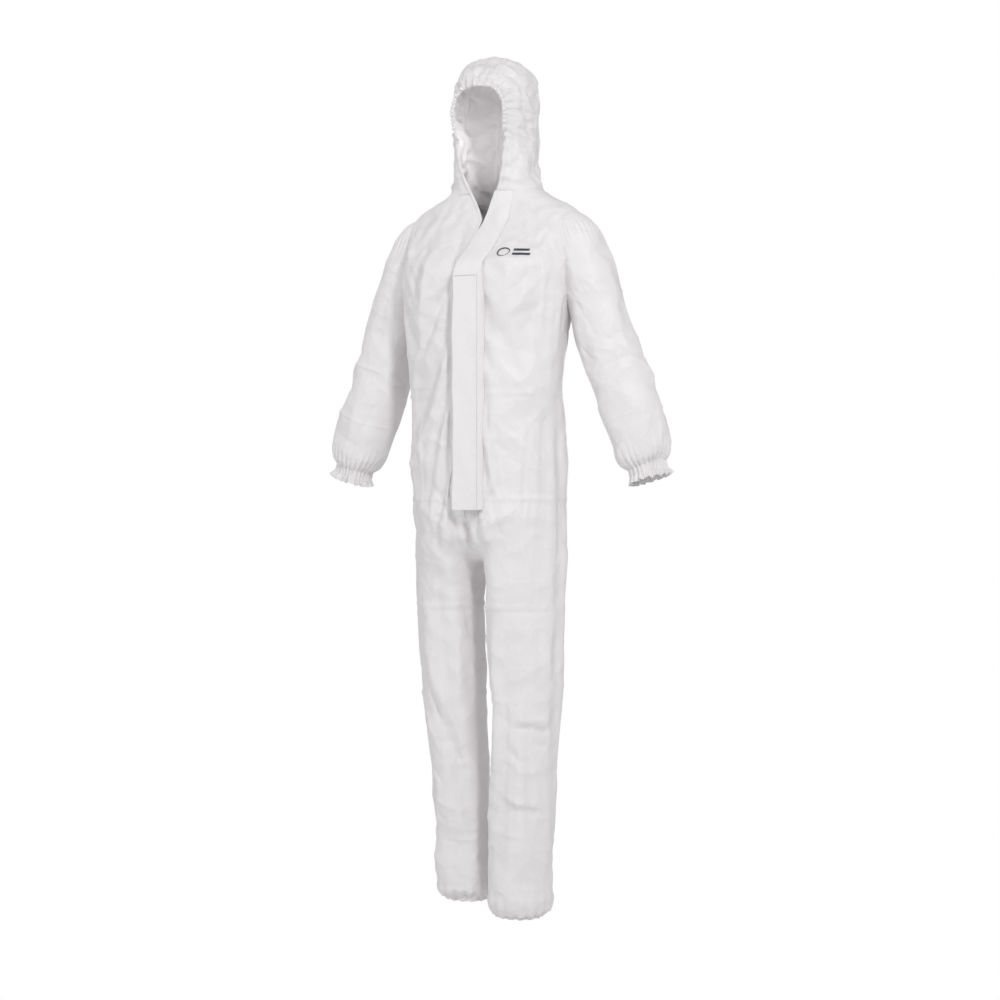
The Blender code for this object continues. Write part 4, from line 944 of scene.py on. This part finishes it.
def seam(name, points, body, width=0.0015):
    """A thin raised line of cloth along some points, riding on a body or fixed in place."""
    rows = len(points)
    columns = 8
    line = np.array(points, float)
    along = np.gradient(line, axis=0)
    along /= np.linalg.norm(along, axis=1)[:, None] + 1e-12
    across = np.cross(along, (0.31, 0.52, 0.79))
    across /= np.linalg.norm(across, axis=1)[:, None] + 1e-12
    other = np.cross(along, across)
    grid = np.zeros((rows, columns, 3))
    for column in range(columns):
        angle = 2 * math.pi * column / columns
        swell = width * (1 + 0.25 * np.sin(np.arange(rows) * 1.9))[:, None]
        grid[:, column] = line + across * swell * math.cos(angle) + other * swell * math.sin(angle)
    piece = grid_piece(name, grid, None, True, lightened_flap_laminate)
    if isinstance(body, str):
        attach(piece, body)
    else:
        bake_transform(piece)
    return piece


def resampled(points, step):
    """The same line with points evenly spaced along it."""
    line = np.array(points, float)
    far = np.concatenate([[0], np.cumsum(np.linalg.norm(np.diff(line, axis=0), axis=1))])
    places = np.linspace(0, far[-1], max(2, int(far[-1] / step)))
    return np.stack([np.interp(places, far, line[:, axis]) for axis in range(3)], axis=1)


for word, (side, hem, hem_y) in HEMS.items():
    path = np.array(armhole_paths[word])
    for turn in range(4):
        path = (np.roll(path, 1, axis=0) + 2 * path + np.roll(path, -1, axis=0)) / 4
    seam("armhole_seam_" + word, resampled([*path, path[0]], 0.0022), "trunk", 0.0013)
    points = []
    for row in range(240):
        z = mix(LEG_TOP + 0.002, 1.27, row / 239)
        spot = body_surface.ray_cast(Vector((side * 0.4, 0.020, z)), Vector((-side, 0, 0)))[0]
        if spot:
            points.append(spot + Vector((side * 0.0002, 0, 0)))
    seam("side_seam_" + word, resampled(points, 0.0022), "trunk", 0.0011)
points = []
for row in range(60):
    z = mix(LEG_TOP + 0.001, FLAP_LOW[2] + 0.004, row / 59)
    points.append((0.0, (front_y(body_surface, 0.0, z) or -0.13) - 0.0002, z))
seam("front_seam", resampled(points, 0.0022), "trunk", 0.0012)

# ---------------------------------------------------------------------------------------------
# The zip behind the flap, its adhesive strip and the liner keep their made shapes and get real finishes.


def plain_material(name, color, roughness, metallic=0.0, relief=0.2, relief_scale=1500):
    """A finish with a fine relief."""
    made = bpy.data.materials.new(name)
    made.use_nodes = True
    tree = made.node_tree
    shader = tree.nodes["Principled BSDF"]
    shader.inputs["Base Color"].default_value = (*color, 1)
    shader.inputs["Roughness"].default_value = roughness
    shader.inputs["Metallic"].default_value = metallic
    place = tree.nodes.new("ShaderNodeTexCoord")
    grain = tree.nodes.new("ShaderNodeTexNoise")
    grain.inputs["Scale"].default_value = relief_scale
    bump = tree.nodes.new("ShaderNodeBump")
    bump.inputs["Strength"].default_value = relief
    bump.inputs["Distance"].default_value = 0.0003
    tree.links.new(place.outputs["Object"], grain.inputs["Vector"])
    tree.links.new(grain.outputs["Fac"], bump.inputs["Height"])
    tree.links.new(bump.outputs["Normal"], shader.inputs["Normal"])
    return made


FINISHES = (("tape", plain_material("woven_tape", (0.86, 0.86, 0.85), 0.75, relief=0.5),
             ("zip_tape_left", "zip_tape_right")),
            ("teeth", plain_material("nylon_coil", (0.88, 0.88, 0.87), 0.38), ("zip_teeth_left", "zip_teeth_right")),
            ("metal", plain_material("zip_metal", (0.62, 0.62, 0.60), 0.32, 1.0, 0.1),
             ("zip_bottom_stop", "zip_slider", "zip_pull")),
            ("adhesive", plain_material("adhesive_tape", (0.80, 0.78, 0.70), 0.35), ("adhesive_strip",)),
            ("liner", plain_material("liner_paper", (0.91, 0.90, 0.86), 0.45), ("release_liner",)))
for slot_name, finish, nodes in FINISHES:
    for node in nodes:
        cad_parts[node].data.materials.clear()
        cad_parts[node].data.materials.append(finish)

# ---------------------------------------------------------------------------------------------
# A small plain mark printed in dark grey on the wearer's left chest: an open ring beside two short bars.
mark_low, mark_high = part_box("chest_mark")
mark_x = (mark_low[0] + mark_high[0]) / 2
mark_z = (mark_low[2] + mark_high[2]) / 2
ink = plain_material("printed_ink", (0.05, 0.055, 0.06), 0.6, relief=0.1)
print_mesh = bmesh.new()


def print_shape(outline_low, outline_high):
    """Prints the band between two lines of (x, z) points on to the chest."""
    steps = []
    for low, high in zip(outline_low, outline_high):
        pair = []
        for x, z in (low, high):
            y = front_y(body_surface, mark_x + x, mark_z + z)
            pair.append(print_mesh.verts.new((mark_x + x, y - 0.0006, mark_z + z)))
        steps.append(pair)
    for before_pair, after_pair in zip(steps, steps[1:]):
        print_mesh.faces.new((before_pair[0], after_pair[0], after_pair[1], before_pair[1]))


sweep = [2 * math.pi * step / 72 for step in range(73)]
thick = [0.0022 + 0.0013 * math.sin(angle - 0.8) for angle in sweep]
print_shape([(-0.018 + (0.0125 - t) * math.cos(a), (0.0095 - t) * math.sin(a)) for a, t in zip(sweep, thick)],
            [(-0.018 + 0.0125 * math.cos(a), 0.0095 * math.sin(a)) for a in sweep])
for level, start, stop in ((0.0045, 0.0000, 0.0270), (-0.0045, 0.0000, 0.0300)):
    line = [mix(start, stop, step / 20) for step in range(21)]
    print_shape([(x, level - 0.0024) for x in line], [(x, level + 0.0024) for x in line])
bmesh.ops.recalc_face_normals(print_mesh, faces=print_mesh.faces)
print_data = bpy.data.meshes.new("chest_print")
print_mesh.to_mesh(print_data)
print_mesh.free()
print_data.materials.append(ink)
chest_print = bpy.data.objects.new("chest_print", print_data)
bpy.context.scene.collection.objects.link(chest_print)
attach(chest_print, "trunk")
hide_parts("chest_mark")
